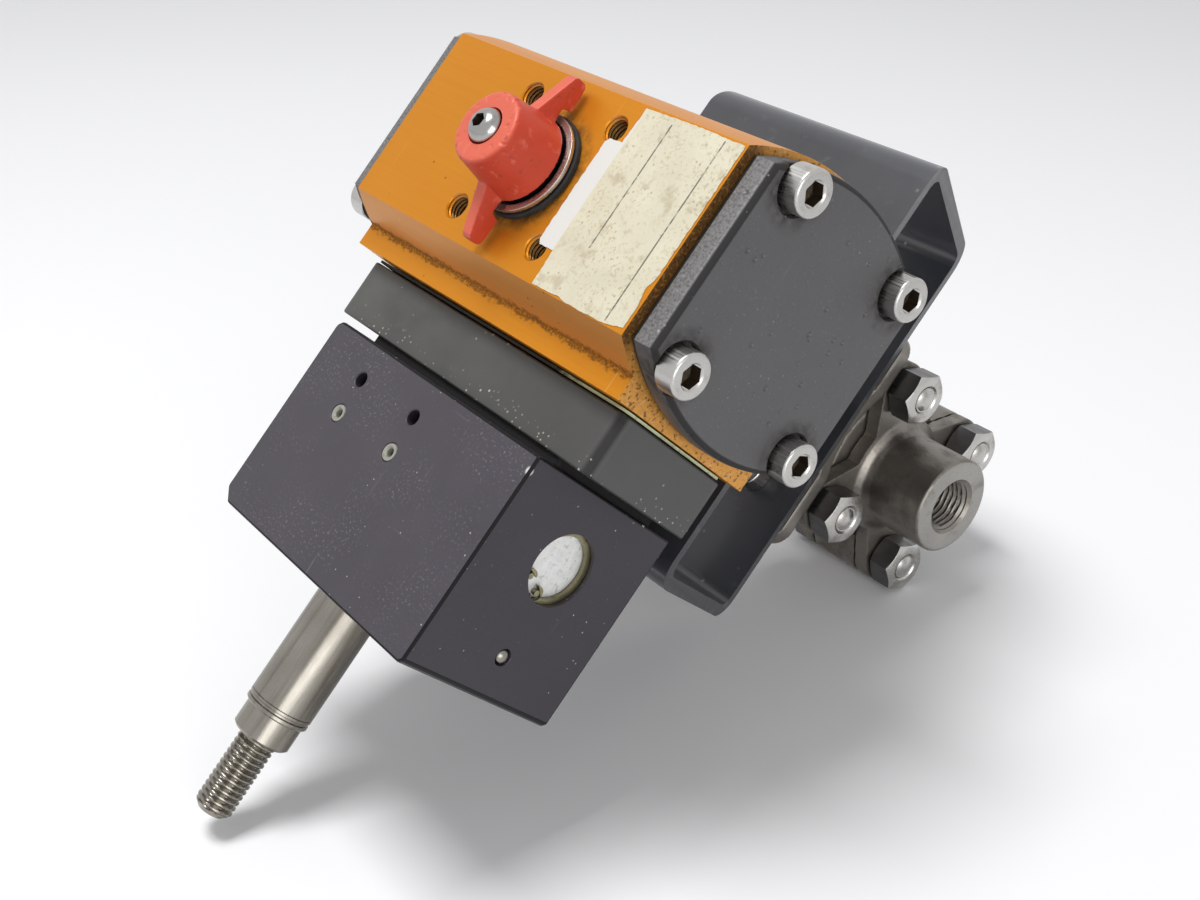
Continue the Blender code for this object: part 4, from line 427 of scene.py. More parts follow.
def block_coat():
    """Dark violet-grey anodised block with scratches, chips and light specks."""
    paint = Surface("block_coat", 0.4, 0.25, 0.5)
    cloud = paint.noise(8 * MM, 5)
    grain = paint.noise(0.22 * MM, 3)
    # Painted shade: faces pointing +X take the darker end colour, the rest take the lit colour.
    lit = paint.mix(cloud, (0.047, 0.041, 0.052), (0.07, 0.062, 0.075))
    end = paint.mix(cloud, (0.024, 0.02, 0.027), (0.038, 0.033, 0.042))
    base = paint.mix(paint.ramp(paint.facing("X"), 0.5, 0.8), lit, end)
    base = paint.mix(paint.ramp(grain, 0.64, 0.8), base, (0.1, 0.093, 0.105))
    speck = paint.both(
        paint.spots(2.1 * MM, 0.055, 0.035, (1, 2, 3)),
        paint.ramp(paint.noise(7 * MM, 3, shift=(4, 4, 4)), 0.5, 0.58),
    )
    base = paint.mix(paint.both(speck, 0.8), base, (0.5, 0.49, 0.47))
    fine = paint.ramp(paint.noise(0.35 * MM, 2, (0.05, 1, 1), (3, 3, 3)), 0.7, 0.76)
    cross = paint.ramp(paint.noise(0.5 * MM, 2, (1, 0.04, 1), (1, 5, 0)), 0.73, 0.77)
    patch = paint.ramp(paint.noise(10 * MM, 2, shift=(6, 6, 0)), 0.45, 0.6)
    scratch = paint.both(paint.most(fine, cross), patch)
    base = paint.mix(paint.both(scratch, 0.2), base, (0.3, 0.29, 0.31))
    rubbed = paint.both(
        paint.ramp(paint.noise(0.3 * MM, 4, shift=(2, 8, 5)), 0.57, 0.68),
        paint.ramp(paint.noise(8 * MM, 4, shift=(9, 1, 0)), 0.44, 0.6),
        paint.ramp(paint.facing("Z"), 0.5, 0.9),
    )
    base = paint.mix(paint.both(rubbed, 0.5), base, (0.24, 0.235, 0.25))
    chip = paint.near_point((35 * MM, -45.6 * MM, BODY_TOP - 7.4 * MM), 0.5 * MM, 0.5 * MM)
    base = paint.mix(chip, base, (0.7, 0.69, 0.66))
    paint.colour(base)
    paint.roughness(paint.blend(speck, paint.ramp(cloud, -1.0, 2.8), 0.8))
    paint.bump(grain, 0.006 * MM)
    return paint.material


def shaded_block_edge():
    """Bevelled edges of the block painted near-black as shade, with a few bright chips."""
    paint = Surface("block_corner_shade", 0.6, 0.0, 0.15)
    chip = paint.ramp(paint.noise(0.9 * MM, 4), 0.68, 0.72)
    paint.colour(paint.mix(chip, (0.008, 0.007, 0.008), (0.32, 0.31, 0.3)))
    paint.roughness(paint.ramp(chip, -1.2, 3))
    paint.bump(chip, -0.05 * MM)
    return paint.material


def black_paint():
    """Glossy black paint with an orange-peel surface and worn spots on it."""
    paint = Surface("bracket_paint", 0.26, 0.0, 0.5, coat=0.4)
    peel = paint.noise(0.9 * MM, 3)
    cloud = paint.noise(9 * MM, 4)
    base = paint.mix(cloud, (0.028, 0.03, 0.037), (0.055, 0.059, 0.069))
    dust = paint.ramp(paint.noise(2 * MM, 6, shift=(3, 2, 1)), 0.62, 0.8)
    base = paint.mix(paint.both(dust, 0.3), base, (0.16, 0.16, 0.165))
    worn = paint.both(paint.spots(4.5 * MM, 0.07, 0.04), paint.ramp(cloud, 0.52, 0.6))
    base = paint.mix(worn, base, (0.25, 0.22, 0.2))
    paint.colour(base)
    paint.roughness(paint.blend(dust, paint.ramp(cloud, -0.75, 3.2), 0.5))
    paint.bump(peel, 0.02 * MM)
    return paint.material


def bracket_end_paint():
    """Sawn ends of the bracket, thinly painted, with edge wear."""
    paint = Surface("bracket_sawn_end", 0.4, 0.1, coat=0.1)
    saw = paint.noise(0.3 * MM, 3, (1, 0.1, 1))
    rub = paint.ramp(paint.noise(1.6 * MM, 5), 0.6, 0.75)
    base = paint.mix(saw, (0.022, 0.023, 0.027), (0.06, 0.062, 0.07))
    paint.colour(paint.mix(paint.both(rub, 0.5), base, (0.2, 0.19, 0.18)))
    paint.roughness(paint.ramp(saw, -0.8, 2.2))
    paint.bump(saw, 0.03 * MM)
    return paint.material


def turned_metal(name, dark, light, roughness, along=(1, 1, 0.03), grain=0.008):
    """Machined bare metal, with fine rings or lines and brown stains."""
    paint = Surface(name, roughness, 1.0)
    lines = paint.noise(0.2 * MM, 2, along)
    cloud = paint.noise(4 * MM, 4)
    base = paint.mix(cloud, dark, light)
    stain = paint.ramp(paint.noise(2.2 * MM, 5, shift=(5, 5, 5)), 0.56, 0.72)
    base = paint.mix(paint.both(stain, 0.45), base, (0.14, 0.1, 0.065))
    paint.colour(base)
    low = roughness * 0.75
    paint.roughness(paint.blend(paint.most(stain, paint.ramp(lines, 0.3, 0.8)), low, roughness * 1.5))
    paint.bump(lines, grain * MM)
    return paint.material


def drawn_bar():
    """Polished stainless bar with streaks along it and brown heat stains."""
    paint = Surface("stainless_bar", 0.24, 1.0)
    streak = paint.noise(1.6 * MM, 3, (1, 0.05, 1))
    cloud = paint.noise(5 * MM, 4)
    base = paint.mix(cloud, (0.22, 0.205, 0.178), (0.36, 0.34, 0.3))
    base = paint.mix(paint.both(paint.ramp(streak, 0.45, 0.68), 0.7), base, (0.085, 0.068, 0.048))
    fine = paint.noise(0.2 * MM, 2, (1, 0.1, 1))
    paint.colour(base)
    paint.roughness(paint.blend(fine, 0.17, 0.36))
    paint.bump(fine, 0.006 * MM)
    return paint.material


def cast_metal(name, dark, light, stain_colour, pitting=0.07):
    """Sand-like skin of an investment casting with brown stains in its hollows."""
    paint = Surface(name, 0.42, 0.85)
    skin = paint.noise(0.45 * MM, 4)
    cloud = paint.noise(5 * MM, 5)
    base = paint.mix(cloud, dark, light)
    stain = paint.ramp(paint.noise(3.2 * MM, 6, shift=(5, 5, 5)), 0.48, 0.68)
    base = paint.mix(paint.both(stain, 0.6), base, stain_colour)
    base = paint.mix(paint.ramp(skin, 0.34, 0.2), base, (0.07, 0.06, 0.048))
    paint.colour(base)
    paint.roughness(paint.blend(stain, 0.36, 0.62))
    paint.bump(skin, pitting * MM)
    paint.bump(paint.noise(0.15 * MM, 2), 0.01 * MM)
    return paint.material


def knob_plastic():
    """Coral red plastic with a painted highlight that lightens its upward faces, with scuffs, chips and grime near
    its foot.
    """
    paint = Surface("knob_plastic", 0.42, 0.0, 0.3)
    paint.shader.inputs["Subsurface Weight"].default_value = 0.08
    paint.shader.inputs["Subsurface Radius"].default_value = (2 * MM, 0.7 * MM, 0.4 * MM)
    cloud = paint.noise(3 * MM, 4)
    base = paint.mix(cloud, (0.42, 0.036, 0.016), (0.54, 0.06, 0.027))
    # Painted highlight: faces pointing up are mixed toward a paler coral.
    top = paint.ramp(paint.facing("Z"), 0.4, 0.95)
    base = paint.mix(paint.both(top, 0.6), base, (0.76, 0.18, 0.115))
    scuff = paint.ramp(paint.noise(0.7 * MM, 5, (1, 0.4, 0.5)), 0.6, 0.7)
    base = paint.mix(paint.both(scuff, 0.3), base, (0.8, 0.25, 0.17))
    darkening = paint.ramp(paint.noise(0.9 * MM, 4, shift=(3, 3, 3)), 0.64, 0.72)
    base = paint.mix(paint.both(darkening, 0.55), base, (0.16, 0.03, 0.02))
    paint.colour(base)
    paint.roughness(paint.blend(scuff, paint.ramp(cloud, -0.9, 2.6), 0.65))
    paint.bump(paint.noise(0.4 * MM, 3), 0.018 * MM)
    paint.bump(scuff, -0.02 * MM)
    return paint.material


def soft_black(name, colour=(0.012, 0.012, 0.012), dusty=0.3):
    paint = Surface(name, 0.6, 0.0, 0.2)
    grain = paint.noise(0.3 * MM, 4)
    dust = paint.ramp(paint.noise(1.5 * MM, 5, shift=(1, 1, 1)), 0.5, 0.75)
    base = paint.mix(grain, colour, tuple(value * 2.2 for value in colour))
    paint.colour(paint.mix(paint.both(dust, dusty), base, (0.11, 0.1, 0.085)))
    paint.roughness(paint.blend(dust, paint.ramp(grain, -1.2, 1.6), 0.9))
    paint.bump(grain, 0.02 * MM)
    return paint.material


def green_paper():
    """Pressed pale green gasket board."""
    paint = Surface("gasket_board", 0.85)
    fibre = paint.noise(0.35 * MM, 4, (0.4, 1, 1))
    base = paint.mix(fibre, (0.36, 0.42, 0.25), (0.55, 0.6, 0.4))
    dirt = paint.ramp(paint.noise(1.8 * MM, 5), 0.55, 0.72)
    base = paint.mix(paint.both(dirt, 0.6), base, (0.1, 0.1, 0.06))
    # Darker towards the -X end, nearly black there.
    darkening = paint.ramp(paint.math("ADD", paint.ramp(paint.axis("X"), 30 * MM, 2 * MM), fibre), 0.55, 0.85)
    paint.colour(paint.mix(darkening, base, (0.018, 0.016, 0.012)))
    paint.roughness(paint.ramp(fibre, -3, 1.5))
    paint.bump(fibre, 0.03 * MM)
    return paint.material


def pale_plastic(name, dark, light):
    paint = Surface(name, 0.45)
    cloud = paint.noise(0.8 * MM, 4)
    base = paint.mix(cloud, dark, light)
    dirt = paint.ramp(paint.noise(0.5 * MM, 4, shift=(2, 2, 2)), 0.6, 0.7)
    paint.colour(paint.mix(paint.both(dirt, 0.7), base, (0.12, 0.1, 0.07)))
    paint.roughness(paint.ramp(cloud, -0.8, 2.0))
    paint.bump(cloud, 0.01 * MM)
    return paint.material


def khaki_clip():
    paint = Surface("yellow_zinc", 0.38, 0.85)
    cloud = paint.noise(0.9 * MM, 4)
    base = paint.mix(cloud, (0.17, 0.15, 0.08), (0.34, 0.31, 0.2))
    dark = paint.ramp(paint.noise(0.5 * MM, 4, shift=(4, 1, 2)), 0.6, 0.72)
    paint.colour(paint.mix(paint.both(dark, 0.6), base, (0.08, 0.06, 0.04)))
    paint.roughness(paint.ramp(cloud, -0.6, 2.4))
    paint.bump(cloud, 0.015 * MM)
    return paint.material


def plug_metal():
    """Pale matt aluminium of the spool plug, with small pits."""
    paint = Surface("plug_metal", 0.5, 0.25)
    grain = paint.noise(0.7 * MM, 6)
    base = paint.mix(grain, (0.52, 0.525, 0.51), (0.84, 0.845, 0.83))
    pit = paint.ramp(paint.noise(0.5 * MM, 4, shift=(6, 2, 1)), 0.58, 0.68)
    paint.colour(paint.mix(paint.both(pit, 0.45), base, (0.26, 0.245, 0.22)))
    paint.roughness(paint.ramp(grain, -0.8, 1.8))
    paint.bump(pit, -0.03 * MM)
    paint.bump(grain, 0.01 * MM)
    return paint.material


def label_paper():
    """Old paper label: cream, stained, with a cleaner strip, two ruled lines and worn ink."""
    paint = Surface("label_paper", 0.6, 0.0, 0.4)
    x, y = paint.axis("X"), paint.axis("Y")
    fibre = paint.noise(0.4 * MM, 4)
    cloud = paint.noise(4 * MM, 5)
    base = paint.mix(cloud, (0.52, 0.48, 0.36), (0.72, 0.68, 0.53))
    strip = paint.ramp(x, LABEL_STRIP_X + 0.05 * MM, LABEL_STRIP_X - 0.05 * MM)
    base = paint.mix(paint.both(strip, 0.9), base, (0.66, 0.66, 0.64))
    stain = paint.ramp(paint.noise(1.8 * MM, 6, shift=(1, 4, 2)), 0.56, 0.68)
    far_side = paint.ramp(x, LABEL_STRIP_X, LABEL_STRIP_X + 1 * MM)
    grit = paint.both(
        paint.ramp(paint.noise(0.32 * MM, 4, shift=(3, 1, 0)), 0.54, 0.66),
        paint.ramp(paint.noise(6 * MM, 3, shift=(0, 5, 0)), 0.36, 0.6),
        far_side,
    )
    base = paint.mix(paint.both(grit, 0.6), base, (0.36, 0.3, 0.16))
    base = paint.mix(paint.both(stain, far_side, 0.45), base, (0.34, 0.27, 0.16))
    fleck = paint.both(paint.spots(1.6 * MM, 0.12, 0.06), paint.ramp(cloud, 0.45, 0.55))
    base = paint.mix(paint.both(fleck, far_side, 0.5), base, (0.25, 0.18, 0.1))
    ink = paint.ramp(paint.noise(0.6 * MM, 3, shift=(9, 9, 1)), 0.25, 0.5)
    for place, start, end in LABEL_RULES:
        line = paint.near(x, place, LABEL_RULE_HALF_WIDTH)
        length = paint.both(paint.ramp(y, start, start + 0.1 * MM), paint.ramp(y, end, end - 0.1 * MM))
        base = paint.mix(paint.both(paint.ramp(line, 0.0, 0.3), length, ink, 0.85), base, (0.06, 0.055, 0.05))
    paint.colour(base)
    paint.roughness(paint.ramp(fibre, -1.2, 1.8))
    paint.bump(fibre, 0.012 * MM)
    paint.bump(paint.noise(3.5 * MM, 4, shift=(3, 0, 3)), 0.12 * MM)
    return paint.material


def table_top():
    """Pale matt table that shows from its front side only and fades out at its rim."""
    paint = Surface("table_top", 0.75, 0.0, 0.3)
    cloud = paint.noise(160 * MM, 3)
    paint.colour(paint.mix(cloud, (0.89, 0.89, 0.9), (0.92, 0.92, 0.93)))
    paint.bump(paint.noise(2 * MM, 3), 0.02 * MM)
    clear = paint.nodes.new("ShaderNodeBsdfTransparent")
    geometry = paint.nodes.new("ShaderNodeNewGeometry")
    length = paint.nodes.new("ShaderNodeVectorMath")
    length.operation = "LENGTH"
    paint.put(paint.place, length.inputs[0])
    rim = paint.ramp(length.outputs["Value"], 0.9, 1.6)
    share = paint.most(geometry.outputs["Backfacing"], rim)
    mixer = paint.nodes.new("ShaderNodeMixShader")
    paint.put(share, mixer.inputs["Fac"])
    paint.put(paint.shader.outputs["BSDF"], mixer.inputs[1])
    paint.put(clear.outputs["BSDF"], mixer.inputs[2])
    paint.put(mixer.outputs["Shader"], paint.nodes["Material Output"].inputs["Surface"])
    return paint.material


# Label on the actuator's top
LABEL_STRIP_X = 16.9 * MM
LABEL_CORNERS = (
    (17.4, -18.5), (25.0, -18.2), (27.3, -18.6), (37.0, -18.5), (42.0, -17.6), (42.1, -13.2), (41.2, -10.4),
    (42.1, -7.5), (42.1, 18.2), (27.6, 18.4), (16.7, 18.0), (16.3, 10.8), (13.2, 10.6), (12.4, 9.7),
    (12.4, -10.8), (13.2, -11.7), (17.1, -11.6),
)
LABEL_RULE_HALF_WIDTH = 0.2 * MM
# Where each ruled line lies along X, and where it starts and ends along Y
LABEL_RULES = ((24.5 * MM, -8.5 * MM, 17 * MM), (37.6 * MM, -18 * MM, 17.8 * MM))


MATERIALS = {
    "orange": anodised_orange(),
    "orange_end": sawn_orange(),
    "orange_corner": worn_orange(),
    "hole_thread": turned_metal("hole_thread", (0.1, 0.05, 0.015), (0.25, 0.14, 0.05), 0.4),
    "cap": cap_face(),
    "adapter": adapter_coat(),
    "dark_cast": dark_cast("dark_edge_coat", (0.085, 0.082, 0.08), (0.4, 0.38, 0.35)),
    "block": block_coat(),
    "block_corner_shade": shaded_block_edge(),
    "bracket": black_paint(),
    "bracket_end": bracket_end_paint(),
    "stainless": drawn_bar(),
    "screw": turned_metal("screw_plating", (0.42, 0.41, 0.39), (0.6, 0.59, 0.57), 0.3),
    "nut": turned_metal("nut_sides", (0.1, 0.098, 0.1), (0.2, 0.195, 0.195), 0.34),
    "dome": turned_metal("button_head", (0.3, 0.298, 0.29), (0.46, 0.455, 0.445), 0.2, (1, 1, 1), 0.003),
    "casting": cast_metal("cast_stainless", (0.17, 0.155, 0.137), (0.29, 0.27, 0.243), (0.085, 0.07, 0.055)),
    "black_steel": turned_metal("black_oxide", (0.018, 0.018, 0.019), (0.05, 0.048, 0.046), 0.42),
    "socket": turned_metal("dirty_socket", (0.06, 0.046, 0.032), (0.2, 0.165, 0.125), 0.4),
    "hub_face": turned_metal("hub_face", (0.26, 0.25, 0.235), (0.38, 0.37, 0.35), 0.36, (1, 1, 1), 0.004),
    "insert": pale_plastic("vent_insert_skin", (0.2, 0.2, 0.17), (0.36, 0.36, 0.31)),
    # Near-black rubber that also stands for the shade in the gaps beside the interface gasket.
    "gasket_rubber_gap_shade": soft_black("gasket_rubber_gap_shade", (0.004, 0.004, 0.004), 0.08),
    "knob": knob_plastic(),
    "rubber": soft_black("black_rubber_skin"),
    "gasket": green_paper(),
    "plastic": pale_plastic("pale_plastic", (0.5, 0.48, 0.42), (0.68, 0.67, 0.62)),
    "khaki": khaki_clip(),
    "aluminium": plug_metal(),
    "label": label_paper(),
}


def add_object(name, data, location=(0, 0, 0), rotation=UP):
    item = bpy.data.objects.new(name, data)
    item.location = location
    item.rotation_euler = rotation
    WORK.objects.link(item)
    return item


def evaluated_mesh(item):
    bpy.context.view_layer.update()
    graph = bpy.context.evaluated_depsgraph_get()
    return bpy.data.meshes.new_from_object(item.evaluated_get(graph))


def settle(item):
    """Apply the modifiers and the item's place, so that its mesh is in the frame's own space."""
    mesh = evaluated_mesh(item)
    item.modifiers.clear()
    mesh.transform(item.matrix_world)
    item.data = mesh
    item.location = (0, 0, 0)
    item.rotation_euler = (0, 0, 0)
    return item


def remove(item):
    bpy.data.objects.remove(item, do_unlink=True)


def combine(item, tools, operation, solver="EXACT"):
    for tool in tools:
        step = item.modifiers.new(operation.title(), "BOOLEAN")
        step.operation = operation
        step.solver = solver
        step.object = tool
    settle(item)
    for tool in tools:
        remove(tool)
    return item


def cut(item, *tools):
    return combine(item, tools, "DIFFERENCE")


def join(item, *tools):
    return combine(item, tools, "UNION")


def turned(name, profile, location=(0, 0, 0), direction=UP, steps=SMOOTH, closed=False):
    """Turn a profile of (radius, height) points, listed down the outer side, about its Z."""
    mesh = bpy.data.meshes.new(name)
    points = [(radius, 0, height) for radius, height in profile]
    edges = [(index, index + 1) for index in range(len(points) - 1)]
    if closed:
        edges.append((len(points) - 1, 0))
    mesh.from_pydata(points, edges, [])
    item = add_object(name, mesh, location, direction)
    turn = item.modifiers.new("Turn", "SCREW")
    turn.steps = steps
    turn.render_steps = steps
    turn.use_merge_vertices = True
    turn.merge_threshold = 0.000001
    return settle(item)


def box(name, low, high):
    mesh = bpy.data.meshes.new(name)
    shape = bmesh.new()
    bmesh.ops.create_cube(shape, size=1)
    size = [top - bottom for bottom, top in zip(low, high)]
    middle = [(top + bottom) / 2 for bottom, top in zip(low, high)]
    bmesh.ops.scale(shape, verts=shape.verts, vec=size)
    bmesh.ops.translate(shape, verts=shape.verts, vec=middle)
    shape.to_mesh(mesh)
    shape.free()
    return add_object(name, mesh)


def hexagon(name, flats, low, high):
    """A hexagonal prism along Z."""
    corner = flats / math.sqrt(3)
    profile = [(0, high), (corner, high), (corner, low), (0, low)]
    return turned(name, profile, steps=6)


def arc(centre, radius, start, end, count):
    """Points along an arc, both ends included, with angles in degrees."""
    points = []
    for index in range(count + 1):
        angle = math.radians(start + (end - start) * index / count)
        points.append((centre[0] + radius * math.cos(angle), centre[1] + radius * math.sin(angle)))
    return points


def circle(radius, centre=(0, 0), count=TINY):
    half_step = 180 / count
    return arc(centre, radius, half_step, 360 - half_step, count - 1)


def rounded_rectangle(low, high, radius, count=8):
    (x0, y0), (x1, y1) = low, high
    points = arc((x1 - radius, y1 - radius), radius, 0, 90, count)
    points += arc((x0 + radius, y1 - radius), radius, 90, 180, count)
    points += arc((x0 + radius, y0 + radius), radius, 180, 270, count)
    points += arc((x1 - radius, y0 + radius), radius, 270, 360, count)
    return points


def slab(name, outlines, thickness, location, rotation=UP):
    """A flat plate whose first face is at the location, from an outline and its holes."""
    curve = bpy.data.curves.new(name, "CURVE")
    curve.dimensions = "2D"
    curve.fill_mode = "BOTH"
    curve.extrude = thickness / 2
    for outline in outlines:
        spline = curve.splines.new("POLY")
        spline.points.add(len(outline) - 1)
        spline.use_cyclic_u = True
        for point, (x, y) in zip(spline.points, outline):
            point.co = (x, y, 0, 1)
    guide = add_object(name + "_outline", curve)
    mesh = evaluated_mesh(guide)
    remove(guide)
    shape = bmesh.new()
    shape.from_mesh(mesh)
    bmesh.ops.remove_doubles(shape, verts=shape.verts, dist=0.0000005)
    bmesh.ops.translate(shape, verts=shape.verts, vec=(0, 0, thickness / 2))
    bmesh.ops.recalc_face_normals(shape, faces=shape.faces)
    shape.to_mesh(mesh)
    shape.free()
    return settle(add_object(name, mesh, location, rotation))


def flatten(item):
    """Join the flat faces that a cut has split."""
    shape = bmesh.new()
    shape.from_mesh(item.data)
    bmesh.ops.dissolve_limit(
        shape, angle_limit=math.radians(0.5), verts=shape.verts, edges=shape.edges, delimit={"MATERIAL"}
    )
    shape.to_mesh(item.data)
    shape.free()


def soften(item, width, segments=2, angle=30, edge_material=-1):
    """Round the sharp edges."""
    flatten(item)
    step = item.modifiers.new("Soften", "BEVEL")
    step.width = width
    step.segments = segments
    step.limit_method = "ANGLE"
    step.angle_limit = math.radians(angle)
    step.use_clamp_overlap = True
    step.miter_outer = "MITER_ARC"
    step.material = edge_material
    return settle(item)


def remeshed(item, voxel, rounds=3):
    """Melt the item's pieces into one skin with soft inner corners, as in a casting."""
    step = item.modifiers.new("Remesh", "REMESH")
    step.mode = "VOXEL"
    step.voxel_size = voxel
    relax = item.modifiers.new("Relax", "SMOOTH")
    relax.factor = 0.5
    relax.iterations = rounds
    return settle(item)


def coat(item, *names):
    item.data.materials.clear()
    for name in names:
        item.data.materials.append(MATERIALS[name])


def shade(item, angle=32):
    item.data.shade_smooth()
    item.data.set_sharp_from_angle(angle=math.radians(angle))
    weigh = item.modifiers.new("Weigh", "WEIGHTED_NORMAL")
    weigh.keep_sharp = True


def show(item, body="housing", nodes=(), angle=32):
    """Hand a finished piece over to the frame."""
    shade(item, angle)
    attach(item, body)
    for node in nodes:
        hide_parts(node)
    return item


def paint_faces(item, index, test):
    """Give the faces that pass the test another of the item's materials."""
    for face in item.data.polygons:
        if test(face.center, face.normal):
            face.material_index = index


def corners(half_y, half_z):
    return [(half_y, half_z), (-half_y, half_z), (-half_y, -half_z), (half_y, -half_z)]


def side_arc(half_height, top_half_width, bulge):
    """Radius and centre of the arc from the top's edge to the bottom's edge."""
    rise = bulge - top_half_width
    radius = (half_height ** 2 + rise ** 2) / (2 * rise)
    return radius, bulge - radius


def barrel_side(half_height, top_half_width, bulge, start, end, count):
    """Points on the bulged side between two heights."""
    radius, centre = side_arc(half_height, top_half_width, bulge)
    first = math.degrees(math.asin(start / radius))
    last = math.degrees(math.asin(end / radius))
    return arc((centre, 0), radius, first, last, count)


def barrel_outline():
    """Section of the barrel as (y, z), with the flat pad on the -Y side."""
    half = BODY_HIGH.z - BODY_MID
    sizes = (half, TOP_HALF_WIDTH, BODY_BULGE)
    pad = PAD_HALF_HEIGHT
    points = barrel_side(*sizes, -half, half, 36)
    points += [(-y, z) for y, z in barrel_side(*sizes, half, pad, 8)]
    points += [(-PAD_FACE_Y, pad), (-PAD_FACE_Y, -pad)]
    points += [(-y, z) for y, z in barrel_side(*sizes, -pad, -half, 8)]
    return points


def in_top_hole(centre):
    """True below the countersink of one of the four tapped holes."""
    half = TOP_HOLE_SPACING / 2
    across = math.hypot(abs(centre.x) - half, abs(centre.y) - half)
    return across < TOP_HOLE_R + 0.5 * MM and centre.z < BODY_TOP - 1.2 * MM


def make_body():
    length = BODY_HIGH.x - BODY_LOW.x
    place = (BODY_LOW.x, 0, BODY_MID)
    body = slab("barrel", [barrel_outline()], length, place, ACROSS_X)
    tools, threads = [], []
    depth = 8.5 * MM
    chamfer = COUNTERSINK_R - TOP_HOLE_R
    profile = [(0, 1 * MM), (COUNTERSINK_R + 1 * MM, 1 * MM), (TOP_HOLE_R, -chamfer)]
    profile += [(TOP_HOLE_R, -depth), (0, -depth - chamfer)]
    spacing = TOP_HOLE_SPACING / 2
    for x, y in corners(spacing, spacing):
        tools.append(turned("mount_hole", profile, (x, y, BODY_TOP), UP, ROUND))
        thread = threaded_rod("mount_thread", TOP_HOLE_R + 0.3 * MM, 0.4 * MM, 0.8 * MM, 0, 6 * MM, 0.01 * MM)
        thread.location = (x, y, BODY_TOP - 0.1 * MM)
        thread.rotation_euler = DOWN
        threads.append(settle(thread))
    bore = [(0, 1 * MM), (8.6 * MM, 1 * MM), (8.6 * MM, -6 * MM), (0, -6 * MM)]
    tools.append(turned("pinion_bore", bore, (0, 0, BODY_TOP), UP))
    lower = [(0, 1 * MM), (11 * MM, 1 * MM), (11 * MM, -12 * MM), (0, -12 * MM)]
    tools.append(turned("coupling_bore", lower, (0, 0, BODY_LOW.z), DOWN))
    reach = length / 2 + MM
    cylinder = [(0, reach), (20 * MM, reach), (20 * MM, -reach), (0, -reach)]
    tools.append(turned("cylinder", cylinder, (0, 0, BODY_MID), PLUS_X))
    cut(body, *tools)
    combine(body, threads, "DIFFERENCE", "MANIFOLD")
    coat(body, "orange", "orange_corner", "orange_end", "hole_thread")
    soften(body, 0.35 * MM, 2, 25, edge_material=1)
    paint_faces(body, 2, lambda centre, normal: abs(normal.x) > 0.95 and abs(centre.x) > BODY_HIGH.x - MM)
    paint_faces(body, 3, lambda centre, normal: in_top_hole(centre))
    show(body, nodes=["actuator_body"])


def cap_outline(low, high):
    half = (high.z - low.z) / 2
    sizes = (half, 18.1 * MM, high.y)
    points = barrel_side(*sizes, -half, half, 36)
    points += [(-y, z) for y, z in barrel_side(*sizes, half, -half, 36)]
    return points


def make_end_cap(node, side, seat_x, face_x):
    low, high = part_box(node)
    thickness = abs(face_x - seat_x)
    start = min(seat_x, face_x)
    cap = slab("cap", [cap_outline(low, high)], thickness, (start, 0, BODY_MID), ACROSS_X)
    flatten(cap)
    round_edge(cap, face_x, CAP_EDGE_R, 4)
    direction = PLUS_X if side > 0 else MINUS_X
    tools = []
    head_r = 4.9 * MM
    for y, z in corners(CAP_SCREW_Y, CAP_SCREW_Z):
        profile = [(0, 2 * MM), (head_r + 0.3 * MM, 2 * MM), (head_r + 0.3 * MM, 0), (head_r, -0.3 * MM)]
        profile += [(head_r, -1.3 * MM), (0, -1.3 * MM)]
        tools.append(turned("seat", profile, (face_x, y, BODY_MID + z), direction, ROUND))
    cut(cap, *tools)
    coat(cap, "cap")
    show(cap, nodes=[node], angle=25)


def round_edge(item, x, radius, segments):
    """Round the outer edge of the flat end at x."""
    shape = bmesh.new()
    shape.from_mesh(item.data)
    edges = [edge for edge in shape.edges if all(abs(vertex.co.x - x) < 0.01 * MM for vertex in edge.verts)]
    bmesh.ops.bevel(
        shape, geom=edges, offset=radius, segments=segments, profile=0.5, affect="EDGES", clamp_overlap=True
    )
    shape.to_mesh(item.data)
    shape.free()


def make_end_seal(node):
    low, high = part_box(node)
    seal = slab("seal", [cap_outline(low, high)], high.x - low.x, (low.x, 0, BODY_MID), ACROSS_X)
    coat(seal, "rubber")
    show(seal, nodes=[node])


def socket_screw_mesh(head_r, height, socket, depth):
    """Head and shank of a socket screw along Z, with the seat of its head at z = 0."""
    edge = head_r * 0.13
    shank_r = head_r * 0.54
    profile = [(0, height)] + arc((head_r - edge, height - edge), edge, 90, 0, 4)
    profile += [(head_r, 0.2 * MM), (head_r - 0.2 * MM, 0), (shank_r, 0), (shank_r, -2 * height), (0, -2 * height)]
    screw = turned("screw", profile, steps=SMOOTH)
    well = hexagon("socket", socket, height - depth, height + MM)
    corner = socket / math.sqrt(3) * 1.1
    mouth = [(0, height + MM), (corner + MM, height + MM), (corner - 0.3 * MM, height - 0.3 * MM)]
    mouth += [(0, height - 0.3 * MM)]
    drill = [(0, height - depth + 0.1 * MM), (socket / 2, height - depth + 0.1 * MM), (0, height - depth - 0.7 * MM)]
    cut(screw, well, turned("mouth", mouth, steps=ROUND), turned("drill", drill, steps=TINY))
    coat(screw, "screw", "socket")
    inner = socket / math.sqrt(3) * 1.02
    floor = height - 0.5 * MM

    def deep(centre, normal):
        return centre.xy.length < inner and 0 < centre.z < floor

    paint_faces(screw, 1, deep)
    return screw


def place_copy(mesh, name, location, direction, body, node, turn=0.0, angle=32):
    """A copy of a mesh, turned about its own axis and moved to its place."""
    item = add_object(name, mesh)
    spin = Matrix.Rotation(turn, 4, "Z")
    item.matrix_world = Matrix.Translation(location) @ euler_matrix(direction) @ spin
    return show(item, body, [node], angle)


def euler_matrix(direction):
    return Matrix.Rotation(direction[2], 4, "Z") @ Matrix.Rotation(direction[1], 4, "Y") @ Matrix.Rotation(
        direction[0], 4, "X"
    )


